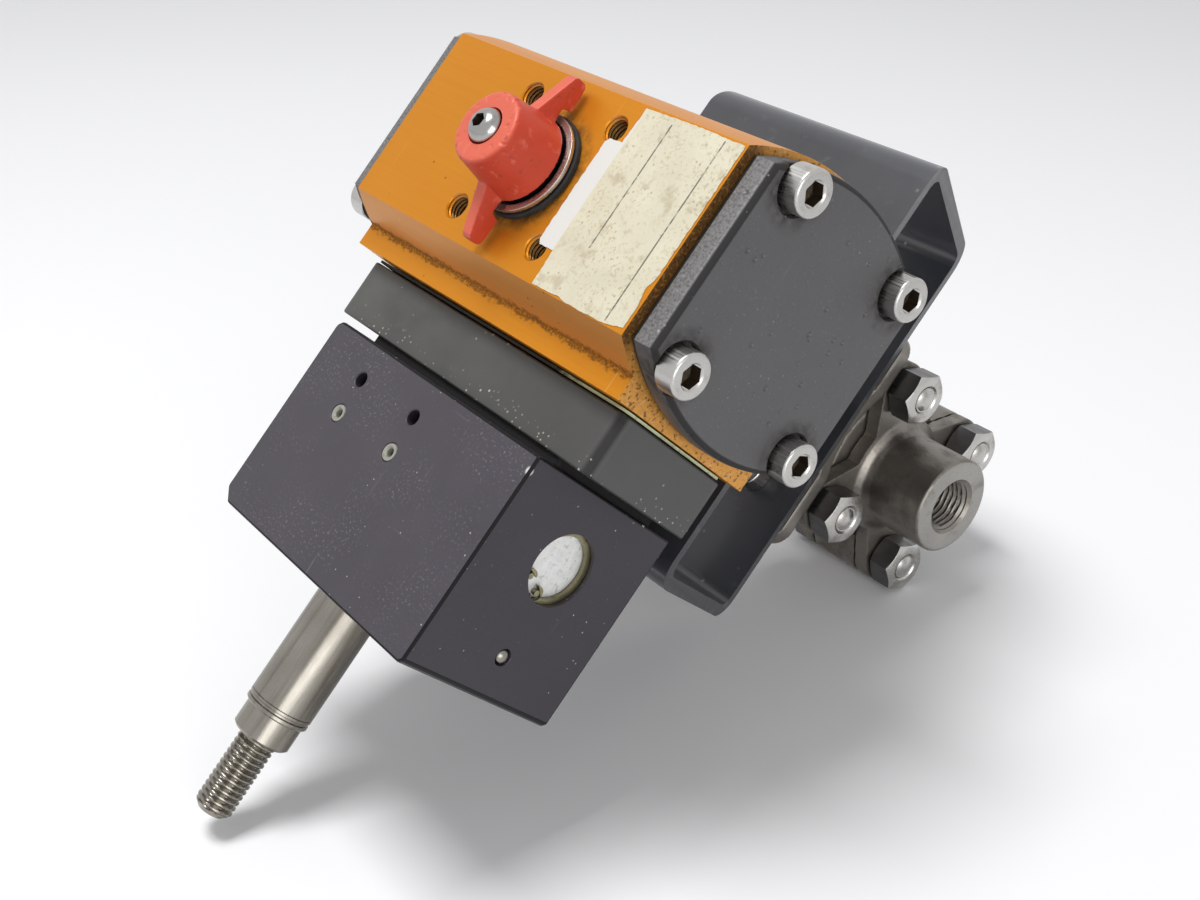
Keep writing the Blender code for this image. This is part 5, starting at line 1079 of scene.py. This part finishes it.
def make_cap_screws():
    screw = socket_screw_mesh(4.32 * MM, 4.6 * MM, 4.0 * MM, 2.6 * MM)
    turns = random.Random(4)
    for end, side, direction in (("front", 1, PLUS_X), ("rear", -1, MINUS_X)):
        for index, (y, z) in enumerate(corners(CAP_SCREW_Y, CAP_SCREW_Z)):
            node = "cap_screw_%s_%d" % (end, index + 1)
            low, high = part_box(node)
            seat = high.x - 4.6 * MM if side > 0 else low.x + 4.6 * MM
            place = (seat, y, BODY_MID + z)
            place_copy(
                screw.data, node + "_head", place, direction, "housing", node, turns.uniform(0, 1)
            )
    remove(screw)


def wing_outline():
    """Side view of one wing of the knob, as (y, z) from the knob's foot."""
    points = [(4 * MM, 0.2 * MM), (11.2 * MM, 0.2 * MM), (11.9 * MM, -1.9 * MM), (16.8 * MM, -1.9 * MM)]
    points += [(17.5 * MM, -1.2 * MM), (17.5 * MM, 0.7 * MM), (16.8 * MM, 1.4 * MM)]
    return points + [(6.2 * MM, 5.4 * MM), (4 * MM, 5.4 * MM)]


def make_wing(turn):
    """One wing, thinner towards its tip."""
    root, tip = 2.4 * MM, 1.3 * MM
    wing = slab("wing", [wing_outline()], 2 * root, (0, 0, 0))
    for vertex in wing.data.vertices:
        share = min(max(vertex.co.x / (17.5 * MM), 0), 1)
        narrow = 1 - share * (1 - tip / root)
        rise = min(max(vertex.co.y / (5.4 * MM), 0), 1)
        vertex.co.z = (vertex.co.z - root) * narrow * (1 - 0.35 * rise)
    wing.rotation_euler = (math.pi / 2, 0, turn)
    return settle(wing)


def make_knob():
    low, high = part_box("indicator_knob")
    top = 11.1 * MM
    foot = high.z - top
    soft = 0.9 * MM
    profile = [(0, top)] + arc((7.3 * MM - soft, top - soft), soft, 90, 10, 6) + [(8.7 * MM, 0), (0, 0)]
    knob = turned("knob", profile)
    join(knob, make_wing(math.pi / 2), make_wing(-math.pi / 2))
    remeshed(knob, 0.2 * MM, 4)
    recess = [(0, top + MM), (3.75 * MM, top + MM), (3.75 * MM, top - 1.5 * MM), (0, top - 1.5 * MM)]
    for vertex in knob.data.vertices:
        place = Vector(vertex.co)
        if place.z > top - 2.2 * MM and place.xy.length > 5 * MM:
            dent = max(0.0, noise.noise(place * 900) - 0.25) * 0.55 * MM
            vertex.co -= Vector((place.x, place.y, place.length * 0.8)).normalized() * dent
    cut(knob, turned("recess", recess))
    knob.location = (0, 0, foot)
    settle(knob)
    coat(knob, "knob")
    show(knob, "rotor", ["indicator_knob"], angle=45)


def make_knob_screw():
    low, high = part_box("knob_screw")
    crown, head_r = 3.2 * MM, 3.5 * MM
    seat = high.z - crown
    dome = [(math.sin(math.radians(angle)), math.cos(math.radians(angle))) for angle in range(34, 91, 8)]
    profile = [(0, crown), (head_r * 0.45, crown)]
    profile += [(head_r * across, crown * (0.3 + 0.8 * up)) for across, up in dome if 0.3 + 0.8 * up < 1]
    profile += [(head_r, 0), (0, 0)]
    screw = turned("button", profile)
    cut(screw, hexagon("socket", 2.5 * MM, crown * 0.45, crown + MM))
    coat(screw, "dome", "socket")
    paint_faces(screw, 1, lambda centre, normal: centre.xy.length < 1.48 * MM and centre.z < crown - 0.1 * MM)
    place_copy(screw.data, "knob_screw_head", (0, 0, seat), UP, "rotor", "knob_screw", 0.4)
    remove(screw)


def make_washer_and_snap_ring():
    low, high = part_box("thrust_washer")
    soft = 0.25 * MM
    profile = [(8.15 * MM, high.z), (high.x - soft, high.z), (high.x, high.z - soft), (high.x, low.z)]
    washer = turned("washer", profile + [(8.15 * MM, low.z)], closed=True)
    coat(washer, "rubber")
    show(washer, nodes=["thrust_washer"])
    low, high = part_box("snap_ring")
    outline = arc((0, 0), 10.25 * MM, 189, 531, SMOOTH) + arc((0, 0), 8.9 * MM, 531, 189, SMOOTH)
    clip = slab("clip", [outline], high.z - low.z, (0, 0, low.z))
    soften(clip, 0.15 * MM)
    coat(clip, "screw")
    show(clip, "rotor", ["snap_ring"])


def make_port_gasket():
    low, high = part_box("port_gasket")
    outline = rounded_rectangle((low.x, low.z), (high.x, high.z), 2.6 * MM)
    gasket = slab("gasket", [outline], high.y - low.y, (0, high.y, 0), ACROSS_Y)
    coat(gasket, "gasket")
    show(gasket, nodes=["port_gasket"])


def make_adapter():
    low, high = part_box("adapter_plate")
    over = 0.4 * MM
    outline = rounded_rectangle((low.x - over, low.z), (high.x + over, high.z), 3 * MM)
    plate = slab("adapter", [outline], high.y - low.y + over, (0, high.y, 0), ACROSS_Y)
    soften(plate, 0.45 * MM, 3)
    coat(plate, "adapter")
    show(plate, nodes=["adapter_plate"])


def make_interface_gasket():
    low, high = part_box("interface_gasket")
    outline = rounded_rectangle((low.x, low.z), (high.x, high.z), 1.2 * MM)
    # Painted shade: the gasket is widened into the gaps on both sides and made near-black, so it also stands for
    # their shade.
    gap_fill = 0.28 * MM
    thickness = high.y - low.y + 2 * gap_fill
    gasket = slab("gasket", [outline], thickness, (0, high.y + gap_fill, 0), ACROSS_Y)
    soften(gasket, 0.15 * MM)
    coat(gasket, "gasket_rubber_gap_shade")
    show(gasket, nodes=["interface_gasket"])


def block_outline():
    """Plan of the block, as (x, y), with its three sawn-off corners."""
    x0, x1, y0, y1 = BLOCK_LOW.x - 0.8 * MM, BLOCK_HIGH.x, BLOCK_LOW.y, BLOCK_HIGH.y + 0.35 * MM
    far, near, front = 2.7 * MM, 1.2 * MM, 0.9 * MM
    points = [(x1, y1), (x0 + near, y1), (x0, y1 - near), (x0, y0 + far), (x0 + far, y0)]
    return points + [(x1 - front, y0), (x1, y0 + front)]


def make_block():
    height = BLOCK_HIGH.z - BLOCK_LOW.z
    block = slab("block", [block_outline()], height, (0, 0, BLOCK_LOW.z))
    coat(block, "block", "block_corner_shade")
    soften(block, 0.5 * MM, 2, 28, edge_material=1)
    tools = []
    face = BLOCK_HIGH.x
    profile = [(0, MM), (8.3 * MM, MM), (7.3 * MM, 0), (7.3 * MM, -0.9 * MM), (8 * MM, -0.9 * MM)]
    profile += [(8 * MM, -2.3 * MM), (7.3 * MM, -2.3 * MM), (7.3 * MM, -7 * MM), (0, -7 * MM)]
    tools.append(turned("spool_bore", profile, (face, SPOOL_Y, BODY_MID), PLUS_X))
    ball = sum(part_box("ball_plug"), Vector()) / 2
    tools.append(hole_tool(1.75 * MM, 4 * MM, 0.1 * MM, (face, ball.y, ball.z), PLUS_X))
    for node in ("vent_insert_1", "vent_insert_2"):
        insert = sum(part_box(node), Vector()) / 2
        tools.append(hole_tool(1.55 * MM, 10 * MM, 0.2 * MM, (insert.x, BLOCK_HIGH.y - 7 * MM, BLOCK_HIGH.z), UP))
        tools.append(hole_tool(1.95 * MM, 4 * MM, 0.1 * MM, (insert.x, insert.y, BLOCK_HIGH.z), UP))
    tube = sum(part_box("armature_tube"), Vector()) / 2
    tools.append(hole_tool(7.1 * MM, 6 * MM, 0.3 * MM, (tube.x, BLOCK_LOW.y, BODY_MID), MINUS_Y))
    for node in ("block_screw_1", "block_screw_2"):
        screw = sum(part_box(node), Vector()) / 2
        tools.append(hole_tool(3.1 * MM, 3.4 * MM, 0.2 * MM, (screw.x, BLOCK_LOW.y, screw.z), MINUS_Y))
    low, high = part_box("spool")
    travel, slack = 3 * MM, 0.15 * MM
    way_r = (high.z - low.z) / 2 + slack
    end = high.x + travel + slack
    way = [(0, end), (way_r, end), (way_r, low.x - slack), (0, low.x - slack)]
    tools.append(turned("spool_way", way, (0, SPOOL_Y, BODY_MID), PLUS_X))
    cut(block, *tools)
    show(block, nodes=["solenoid_block"])


def hole_tool(radius, depth, chamfer, mouth, direction):
    """Cutter for a blind hole with a chamfered mouth."""
    profile = [(0, MM), (radius + chamfer + MM, MM), (radius, -chamfer), (radius, -depth), (0, -depth - radius / 2)]
    return turned("hole", profile, mouth, direction, ROUND)


def make_vent_inserts():
    for node in ("vent_insert_1", "vent_insert_2"):
        low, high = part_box(node)
        centre = (low + high) / 2
        hole_r, outer = 0.9 * MM, 1.85 * MM
        rim = 0.3 * MM
        profile = [(hole_r, high.z - rim), (hole_r + rim, high.z), (outer - rim / 2, high.z)]
        profile += [(outer, high.z - rim), (outer, low.z), (hole_r, low.z)]
        insert = turned(node + "_ring", profile, (centre.x, centre.y, 0), steps=ROUND, closed=True)
        coat(insert, "insert")
        show(insert, nodes=[node])


def ear_centre(inner, ear_r, angle):
    turn = math.radians(angle)
    reach = inner - ear_r * 0.35
    return (reach * math.cos(turn), reach * math.sin(turn))


def make_circlip():
    """Retaining ring with two drilled ears."""
    low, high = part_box("bore_circlip")
    outer, width = 7.65 * MM, 1.3 * MM
    inner = outer - width
    start, end = 172, 488
    ear_r = width * 1.1
    last, first = ear_centre(inner, ear_r, end), ear_centre(inner, ear_r, start)
    outline = arc((0, 0), outer, start, end, SMOOTH)
    outline += arc(last, ear_r, end + 60, end - 210, 14)
    outline += arc((0, 0), inner, end - 16, start + 16, SMOOTH)
    outline += arc(first, ear_r, start + 210, start - 60, 14)
    holes = [circle(0.6 * MM, centre, 16) for centre in (first, last)]
    clip = slab("clip", [outline] + holes, high.x - low.x, (low.x, SPOOL_Y, BODY_MID), ACROSS_X)
    soften(clip, 0.12 * MM)
    coat(clip, "khaki")
    show(clip, nodes=["bore_circlip"])


def make_spool_plug():
    low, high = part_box("spool_plug")
    length = high.x - low.x
    radius = 7 * MM
    soft = 0.4 * MM
    profile = [(0, length), (radius - soft, length), (radius, length - soft), (radius, 0), (0, 0)]
    plug = turned("plug", profile, (low.x, SPOOL_Y, BODY_MID), PLUS_X)
    coat(plug, "aluminium")
    show(plug, nodes=["spool_plug"])


def make_ball_plug():
    """Pressed-in sealing ball."""
    low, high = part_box("ball_plug")
    centre = (low + high) / 2
    radius = (high.z - low.z) / 2
    points = arc((0, 0), radius, 90, -90, TINY)
    ball = turned("ball_plug_shell", points, centre, PLUS_X, ROUND)
    coat(ball, "stainless")
    show(ball, nodes=["ball_plug"])


def make_block_screws():
    screw = socket_screw_mesh(2.8 * MM, 3 * MM, 2.5 * MM, 1.5 * MM)
    for node in ("block_screw_1", "block_screw_2"):
        low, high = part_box(node)
        centre = (low + high) / 2
        place = (centre.x, low.y + 3 * MM, centre.z)
        place_copy(screw.data, node + "_head", place, MINUS_Y, "housing", node, 0.3)
    remove(screw)


def threaded_rod(name, radius, depth, pitch, low, high, tip, steps=48):
    """A closed rod along Z whose skin is a helical thread between two heights."""
    mesh = bpy.data.meshes.new(name)
    shape = bmesh.new()
    rows = max(int((high - low) / pitch * 8), 8)
    grid = []
    for row in range(rows + 1):
        height = low + (high - low) * row / rows
        fade = min(1.0, (high - height) / tip, (height - low) / (pitch * 0.8) + 0.05)
        line = []
        for step in range(steps):
            angle = 2 * math.pi * step / steps
            phase = (height / pitch + step / steps) % 1
            groove = max(0.0, 1 - abs(phase - 0.5) / 0.36) * depth
            reach = radius - min(groove, depth * 0.92) * max(fade, 0.0)
            if high - height < tip:
                reach = min(reach, radius - (tip - (high - height)))
            line.append(shape.verts.new((reach * math.cos(angle), reach * math.sin(angle), height)))
        grid.append(line)
    for row in range(rows):
        for step in range(steps):
            after = (step + 1) % steps
            shape.faces.new((grid[row][step], grid[row][after], grid[row + 1][after], grid[row + 1][step]))
    shape.faces.new(list(reversed(grid[0])))
    shape.faces.new(grid[-1])
    shape.to_mesh(mesh)
    shape.free()
    return add_object(name, mesh)


def make_armature_tube():
    low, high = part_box("armature_tube")
    centre = (low + high) / 2
    face = BLOCK_LOW.y
    thread_low = 34.2 * MM
    tip = face - low.y
    groove = 0.35 * MM
    end = 28.6 * MM
    profile = [(0, thread_low + MM), (3.3 * MM, thread_low + MM), (3.3 * MM, thread_low), (5.6 * MM, thread_low)]
    profile += [(6.1 * MM, thread_low - 0.5 * MM), (6.1 * MM, end)]
    profile += [(6.5 * MM, end), (6.8 * MM, end - 0.3 * MM), (6.8 * MM, end - 0.9 * MM)]
    profile += [(6.8 * MM - groove, end - 1.1 * MM), (6.8 * MM - groove, end - 1.5 * MM), (6.8 * MM, end - 1.7 * MM)]
    profile += [(6.8 * MM, end - 2.2 * MM), (6.65 * MM, end - 2.3 * MM), (6.8 * MM, end - 2.4 * MM)]
    bore_r, bore_end = 4.4 * MM, 27 * MM
    profile += [(6.8 * MM, -5 * MM), (bore_r, -5 * MM), (bore_r, bore_end), (0, bore_end)]
    tube = turned("tube", profile, (centre.x, face, BODY_MID), MINUS_Y)
    thread = threaded_rod("thread", 4 * MM, 0.62 * MM, 1.25 * MM, thread_low - 0.2 * MM, tip, 1.2 * MM)
    thread.location = (centre.x, face, BODY_MID)
    thread.rotation_euler = MINUS_Y
    settle(thread)
    join(tube, thread)
    coat(tube, "stainless")
    show(tube, nodes=["armature_tube"], angle=28)


def saw_wedge(side, low, high):
    """Wedge that saws one end of the bracket at a slant."""
    top, foot, over = high.x, 12.5 * MM, 5 * MM
    slope = (top - foot) / (high.z - low.z)
    outline = [(side * (top + slope * over), high.z + over), (side * (foot - slope * over), low.z - over)]
    outline += [(side * 0.06, low.z - over), (side * 0.06, high.z + over)]
    return slab("saw", [outline], 0.14, (0, 0.07, 0), ACROSS_Y)


def make_bracket():
    low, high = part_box("bracket")
    low, high = low.copy(), high.copy()
    low.z, high.z = BODY_LOW.z - 50.3 * MM, BODY_LOW.z - 0.3 * MM
    wall, corner = 3 * MM, 6 * MM
    outer = rounded_rectangle((low.y, low.z), (high.y, high.z), corner, 12)
    inner = rounded_rectangle(
        (low.y + wall, low.z + wall), (high.y - wall, high.z - wall), corner - wall, 12
    )
    bracket = slab("tube", [outer, inner], high.x - low.x, (low.x, 0, 0), ACROSS_X)
    holes = [turned("hole", [(0, 3 * wall), (9 * MM, 3 * wall), (9 * MM, -3 * wall), (0, -3 * wall)],
                    (0, 0, high.z - wall))]
    holes.append(turned("hole", [(0, 3 * wall), (8.4 * MM, 3 * wall), (8.4 * MM, -3 * wall), (0, -3 * wall)],
                        (0, 0, low.z + wall)))
    cut(bracket, saw_wedge(1, low, high), saw_wedge(-1, low, high), *holes)
    coat(bracket, "bracket", "bracket_end")
    soften(bracket, 0.35 * MM, 2, 28, edge_material=-1)
    paint_faces(bracket, 1, lambda centre, normal: abs(normal.x) > 0.5)
    show(bracket, nodes=["bracket"])
    screw = socket_screw_mesh(4.25 * MM, 4.5 * MM, 4.0 * MM, 2.2 * MM)
    spacing = TOP_HOLE_SPACING / 2
    places = [(x, y, high.z - wall, DOWN) for x, y in corners(spacing, spacing)]
    places += [(0, y, low.z + wall, UP) for y in (-19 * MM, 19 * MM)]
    for index, (x, y, z, direction) in enumerate(places):
        item = add_object("bracket_screw_%d" % (index + 1), screw.data)
        item.matrix_world = Matrix.Translation((x, y, z)) @ euler_matrix(direction)
        show(item)
    remove(screw)


def make_coupling():
    low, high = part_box("stem_coupling")
    radius, edge = 8.5 * MM, 0.7 * MM
    top = BODY_LOW.z
    groove = 0.5 * MM
    middle = (low.z + top) / 2
    profile = [(0, top), (radius - edge, top), (radius, top - edge), (radius, middle + 2 * groove)]
    profile += [(radius - groove, middle + groove), (radius - groove, middle - groove), (radius, middle - 2 * groove)]
    profile += [(radius, low.z + edge), (radius - edge, low.z), (0, low.z)]
    shaft = turned("coupling", profile)
    half = 2.95 * MM
    cut(shaft, box("stem_socket", (-half, -half, low.z - MM), (half, half, low.z + 12 * MM)))
    coat(shaft, "black_steel")
    show(shaft, "rotor", ["stem_coupling"])


def chamfered_hexagon(flats, height, lower, bore=0.0):
    """A nut or bolt head along Z with its corners turned off."""
    prism = hexagon("prism", flats, 0, height)
    corner = flats / math.sqrt(3)
    drop = (corner - flats / 2 * 0.94) * 0.577
    profile = [(0, height), (flats / 2 * 0.94, height), (corner + 0.1 * MM, height - drop - 0.06 * MM)]
    if lower:
        profile += [(corner + 0.1 * MM, drop + 0.06 * MM), (flats / 2 * 0.94, 0), (0, 0)]
    else:
        profile += [(corner + 0.1 * MM, 0), (0, 0)]
    combine(prism, [turned("cone", profile)], "INTERSECT")
    if bore:
        mouth = bore + 0.5 * MM
        hole = [(0, height + MM), (mouth + MM, height + MM), (bore, height - 0.5 * MM), (bore, -MM), (0, -MM)]
        cut(prism, turned("bore", hole, steps=ROUND))
    return prism


def make_gland_nut():
    low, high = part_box("gland_nut")
    nut = chamfered_hexagon(13 * MM, 3.5 * MM, False, 4.15 * MM)
    nut.location = (0, 0, high.z - 3.5 * MM)
    settle(nut)
    coat(nut, "stainless")
    show(nut, nodes=["gland_nut"])


def make_body_fasteners():
    low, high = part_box("body_nut_1")
    height = high.x - low.x
    nut = chamfered_hexagon(11.3 * MM, height, True, 3.1 * MM)
    nut.data.transform(Matrix.Rotation(math.radians(30), 4, "Z"))
    coat(nut, "nut", "screw")
    paint_faces(nut, 1, lambda centre, normal: normal.z > 0.5)
    low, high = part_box("body_bolt_1")
    length = high.x - low.x
    head = 4 * MM
    bolt = chamfered_hexagon(11.3 * MM, head, False)
    end = length - head
    dome = arc((0, -end + 4.5 * MM), 4.5 * MM, -42, -90, 8)
    thread = threaded_rod("bolt_thread", 3 * MM, 0.4 * MM, MM, -end + 0.9 * MM, -end + 8 * MM, 0.6 * MM, TINY)
    profile = [(0, head / 2), (2.55 * MM, head / 2), (2.9 * MM, -end + 1.1 * MM)] + dome
    join(bolt, turned("shank", profile, steps=ROUND), thread)
    bolt.data.transform(Matrix.Rotation(math.radians(30), 4, "Z"))
    coat(bolt, "nut", "screw")
    paint_faces(bolt, 1, lambda centre, normal: centre.z < -end + 1.2 * MM or normal.z > 0.5)
    for index, (y, z) in enumerate(corners(BOLT_Y, BOLT_Z)):
        node = "body_nut_%d" % (index + 1)
        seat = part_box(node)[0].x
        place_copy(nut.data, node + "_hex", (seat, y, z), PLUS_X, "housing", node)
        node = "body_bolt_%d" % (index + 1)
        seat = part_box(node)[0].x + head
        place_copy(bolt.data, node + "_shown", (seat, y, z), MINUS_X, "housing", node)
    remove(nut)
    remove(bolt)


def flange_outline():
    """Four bolt lobes joined by hollowed sides, as (y, z)."""
    points = []
    lobe, waist = 6.6 * MM, 14.6 * MM
    for index, (y, z) in enumerate(corners(BOLT_Y, BOLT_Z)):
        towards = math.degrees(math.atan2(z, y))
        points += arc((y, z), lobe, towards - 80, towards + 80, 18)
        middle = 90 * index + 90
        points += arc((0, 0), waist, middle - 14, middle + 14, 6)
    return points


def port_cutter(face, depth, way_r):
    """Threaded, slightly tapered port with a chamfered mouth, along -Z from the face."""
    thread = threaded_rod("port_thread", 6.25 * MM, 0.75 * MM, 1.337 * MM, 0, depth, 0.01 * MM, 56)
    thread.rotation_euler = DOWN
    thread.location = (0, 0, face + 0.1 * MM)
    settle(thread)
    mouth = [(0, face + MM), (7.9 * MM, face + MM), (6.3 * MM, face - 0.6 * MM), (5.45 * MM, face - 1.2 * MM)]
    mouth += [(5.3 * MM, face - depth - 1.6 * MM), (way_r, face - depth - 3 * MM), (way_r, -MM), (0, -MM)]
    return [turned("port_mouth", mouth), thread]


def make_connectors():
    thickness = 3.9 * MM
    low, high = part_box("end_connector_front")
    start = low.x
    face = high.x - start
    flange = slab("flange", [flange_outline()], thickness, (0, 0, 0))
    profile = [(0, face), (11.1 * MM, face), (11.6 * MM, face - 0.5 * MM), (11.6 * MM, thickness + 3 * MM)]
    profile += [(12.3 * MM, thickness + 1.2 * MM), (13.8 * MM, thickness), (13.8 * MM, 1 * MM), (0, 1 * MM)]
    join(flange, turned("hub", profile))
    remeshed(flange, 0.32 * MM, 4)
    cut(flange, *port_cutter(face, 12 * MM, 3.6 * MM))
    coat(flange, "casting", "hub_face")
    paint_faces(flange, 1, lambda centre, normal: normal.z > 0.9 and centre.z > face - 0.3 * MM)
    for node, side, direction in (("end_connector_front", 1, ACROSS_X), ("end_connector_rear", -1, None)):
        item = add_object(node + "_casting", flange.data)
        if side > 0:
            turn = Matrix(((0, 0, 1, 0), (1, 0, 0, 0), (0, 1, 0, 0), (0, 0, 0, 1)))
        else:
            turn = Matrix(((0, 0, -1, 0), (-1, 0, 0, 0), (0, 1, 0, 0), (0, 0, 0, 1)))
        item.matrix_world = Matrix.Translation((side * start, 0, 0)) @ turn
        show(item, nodes=[node], angle=40)
    remove(flange)


def make_valve_body():
    low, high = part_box("valve_body")
    half = 7 * MM
    pad_low = high.z - 4 * MM
    outline = rounded_rectangle((low.x, low.y), (high.x, high.y), 5 * MM)
    body = slab("pad", [outline], 4 * MM, (0, 0, pad_low))
    waist_r, waist = 30 * MM, 2.4 * MM
    scoop = [(0, 5 * MM), (waist_r, 5 * MM), (waist_r, -MM), (0, -MM)]
    for side in (1, -1):
        place = (side * (high.x + waist_r - waist), 0, pad_low)
        cut(body, turned("scoop", scoop, place))
    ring = turned("ring", [(0, half), (18.2 * MM, half), (18.2 * MM, -half), (0, -half)], direction=PLUS_X)
    neck = box("neck", (-half + 0.4 * MM, -10.5 * MM, 0), (half - 0.4 * MM, 10.5 * MM, pad_low + 2 * MM))
    lobes = slab("lobes", [flange_outline()], 2 * half - 0.4 * MM, (-half + 0.2 * MM, 0, 0), ACROSS_X)
    join(body, lobes, ring, neck)
    remeshed(body, 0.4 * MM, 3)
    gland = [(0, high.z + MM), (6 * MM, high.z + MM), (6 * MM, 16 * MM), (0, 16 * MM)]
    pipe = [(0, 20 * MM), (7 * MM, 20 * MM), (7 * MM, -20 * MM), (0, -20 * MM)]
    cut(body, turned("gland_bore", gland), turned("pipe_bore", pipe, direction=PLUS_X))
    coat(body, "casting")
    show(body, nodes=["valve_body"], angle=40)


def label_outline():
    """Outline of the label with ragged, partly torn edges."""
    wander = random.Random(21)
    plain = [(x * MM, y * MM) for x, y in LABEL_CORNERS]
    points = []
    for index, (x, y) in enumerate(plain):
        after = plain[(index + 1) % len(plain)]
        length = math.dist((x, y), after)
        count = max(int(length / (0.7 * MM)), 1)
        for step in range(count):
            share = step / count
            rag = 0.1 * MM
            points.append((
                x + (after[0] - x) * share + wander.uniform(-rag, rag),
                y + (after[1] - y) * share + wander.uniform(-rag, rag),
            ))
    return points


def make_label():
    label = slab("label", [label_outline()], 0.12 * MM, (0, 0, BODY_TOP + 0.04 * MM))
    coat(label, "label")
    show(label)


CARRIED = {
    "pinion": "black_steel", "pinion_bearing_top": "rubber", "pinion_bearing_bottom": "rubber",
    "piston_left": "aluminium", "piston_right": "aluminium", "piston_seal_left": "rubber",
    "piston_seal_right": "rubber", "adapter_screw_1": "black_steel", "adapter_screw_2": "black_steel",
    "spool": "aluminium", "armature": "stainless", "armature_spring": "stainless", "valve_stem": "stainless",
    "stem_packing": "plastic", "ball": "stainless", "ball_seat_front": "plastic", "ball_seat_rear": "plastic",
}


def coat_carried_nodes():
    """Give the inner pieces, which keep their own meshes, their finish."""
    for node, name in CARRIED.items():
        for place in frame["nodes"][node].material_slots:
            place.material = MATERIALS[name]


def make_camera():
    data = bpy.data.cameras.new("photo_camera")
    data.lens = CAMERA_LENS
    data.sensor_width = 36
    data.clip_start = 0.01
    camera = bpy.data.objects.new("photo_camera", data)
    turn = Matrix((CAMERA_RIGHT, -CAMERA_DOWN, -CAMERA_FORWARD)).transposed()
    camera.matrix_world = Matrix.Translation(CAMERA_PLACE) @ turn.to_4x4()
    bpy.context.scene.collection.objects.link(camera)
    bpy.context.scene.camera = camera


def make_table():
    """Tilted table that the tube's tip and the valve's lower corners touch."""
    lowest = min(
        (item.matrix_world @ vertex.co).dot(TABLE_NORMAL)
        for item in WORK.objects
        for vertex in item.data.vertices
    )
    mesh = bpy.data.meshes.new("table")
    shape = bmesh.new()
    bmesh.ops.create_grid(shape, x_segments=8, y_segments=8, size=1.8)
    shape.to_mesh(mesh)
    shape.free()
    table = bpy.data.objects.new("table", mesh)
    bpy.context.scene.collection.objects.link(table)
    table.data.materials.append(table_top())
    centre = Vector((0, -0.03, 0.06))
    centre += TABLE_NORMAL * (lowest - 0.05 * MM - centre.dot(TABLE_NORMAL))
    turn = TABLE_NORMAL.to_track_quat("Z", "Y").to_matrix().to_4x4()
    table.matrix_world = Matrix.Translation(centre) @ turn


def add_lamp(name, direction, distance, size, power, colour=(1, 1, 1)):
    """A square area lamp that points at the object."""
    data = bpy.data.lights.new(name, "AREA")
    data.size = size
    data.energy = power
    data.color = colour
    lamp = bpy.data.objects.new(name, data)
    centre = Vector((0, -0.02, 0.08))
    towards = Vector(direction).normalized()
    turn = towards.to_track_quat("Z", "Y").to_matrix().to_4x4()
    lamp.matrix_world = Matrix.Translation(centre + towards * distance) @ turn
    bpy.context.scene.collection.objects.link(lamp)


def make_light():
    left = -CAMERA_RIGHT
    back = Vector(CAMERA_FORWARD)
    add_lamp("key", TABLE_NORMAL * 1.0 + left * 0.24 - back * 0.03, 1.0, 0.36, 7.7)
    add_lamp("fill", (0.9, -0.1, 0.35), 1.2, 0.9, 7)
    world = bpy.data.worlds.new("room")
    world.use_nodes = True
    nodes, links = world.node_tree.nodes, world.node_tree.links
    background = nodes["Background"]
    shown = nodes.new("ShaderNodeBackground")
    background.inputs["Color"].default_value = (0.98, 0.99, 1.0, 1)
    background.inputs["Strength"].default_value = 0.42
    shown.inputs["Color"].default_value = (0.88, 0.88, 0.89, 1)
    shown.inputs["Strength"].default_value = 1.0
    path = nodes.new("ShaderNodeLightPath")
    either = nodes.new("ShaderNodeMath")
    either.operation = "MAXIMUM"
    links.new(path.outputs["Is Camera Ray"], either.inputs[0])
    links.new(path.outputs["Is Glossy Ray"], either.inputs[1])
    all_three = nodes.new("ShaderNodeMath")
    all_three.operation = "MAXIMUM"
    links.new(either.outputs[0], all_three.inputs[0])
    links.new(path.outputs["Is Transmission Ray"], all_three.inputs[1])
    mixer = nodes.new("ShaderNodeMixShader")
    links.new(all_three.outputs[0], mixer.inputs["Fac"])
    links.new(background.outputs["Background"], mixer.inputs[1])
    links.new(shown.outputs["Background"], mixer.inputs[2])
    links.new(mixer.outputs["Shader"], nodes["World Output"].inputs["Surface"])
    bpy.context.scene.world = world


make_camera()
make_body()
make_end_cap("end_cap_front", 1, 43.8 * MM, 48.7 * MM)
make_end_cap("end_cap_rear", -1, -43.8 * MM, -48.0 * MM)
make_end_seal("end_seal_front")
make_end_seal("end_seal_rear")
make_cap_screws()
make_knob()
make_knob_screw()
make_washer_and_snap_ring()
make_port_gasket()
make_adapter()
make_interface_gasket()
make_block()
make_vent_inserts()
make_circlip()
make_spool_plug()
make_ball_plug()
make_block_screws()
make_armature_tube()
make_bracket()
make_coupling()
make_gland_nut()
make_body_fasteners()
make_connectors()
make_valve_body()
make_label()
coat_carried_nodes()
make_table()
make_light()

bpy.context.scene.view_settings.view_transform = "Standard"
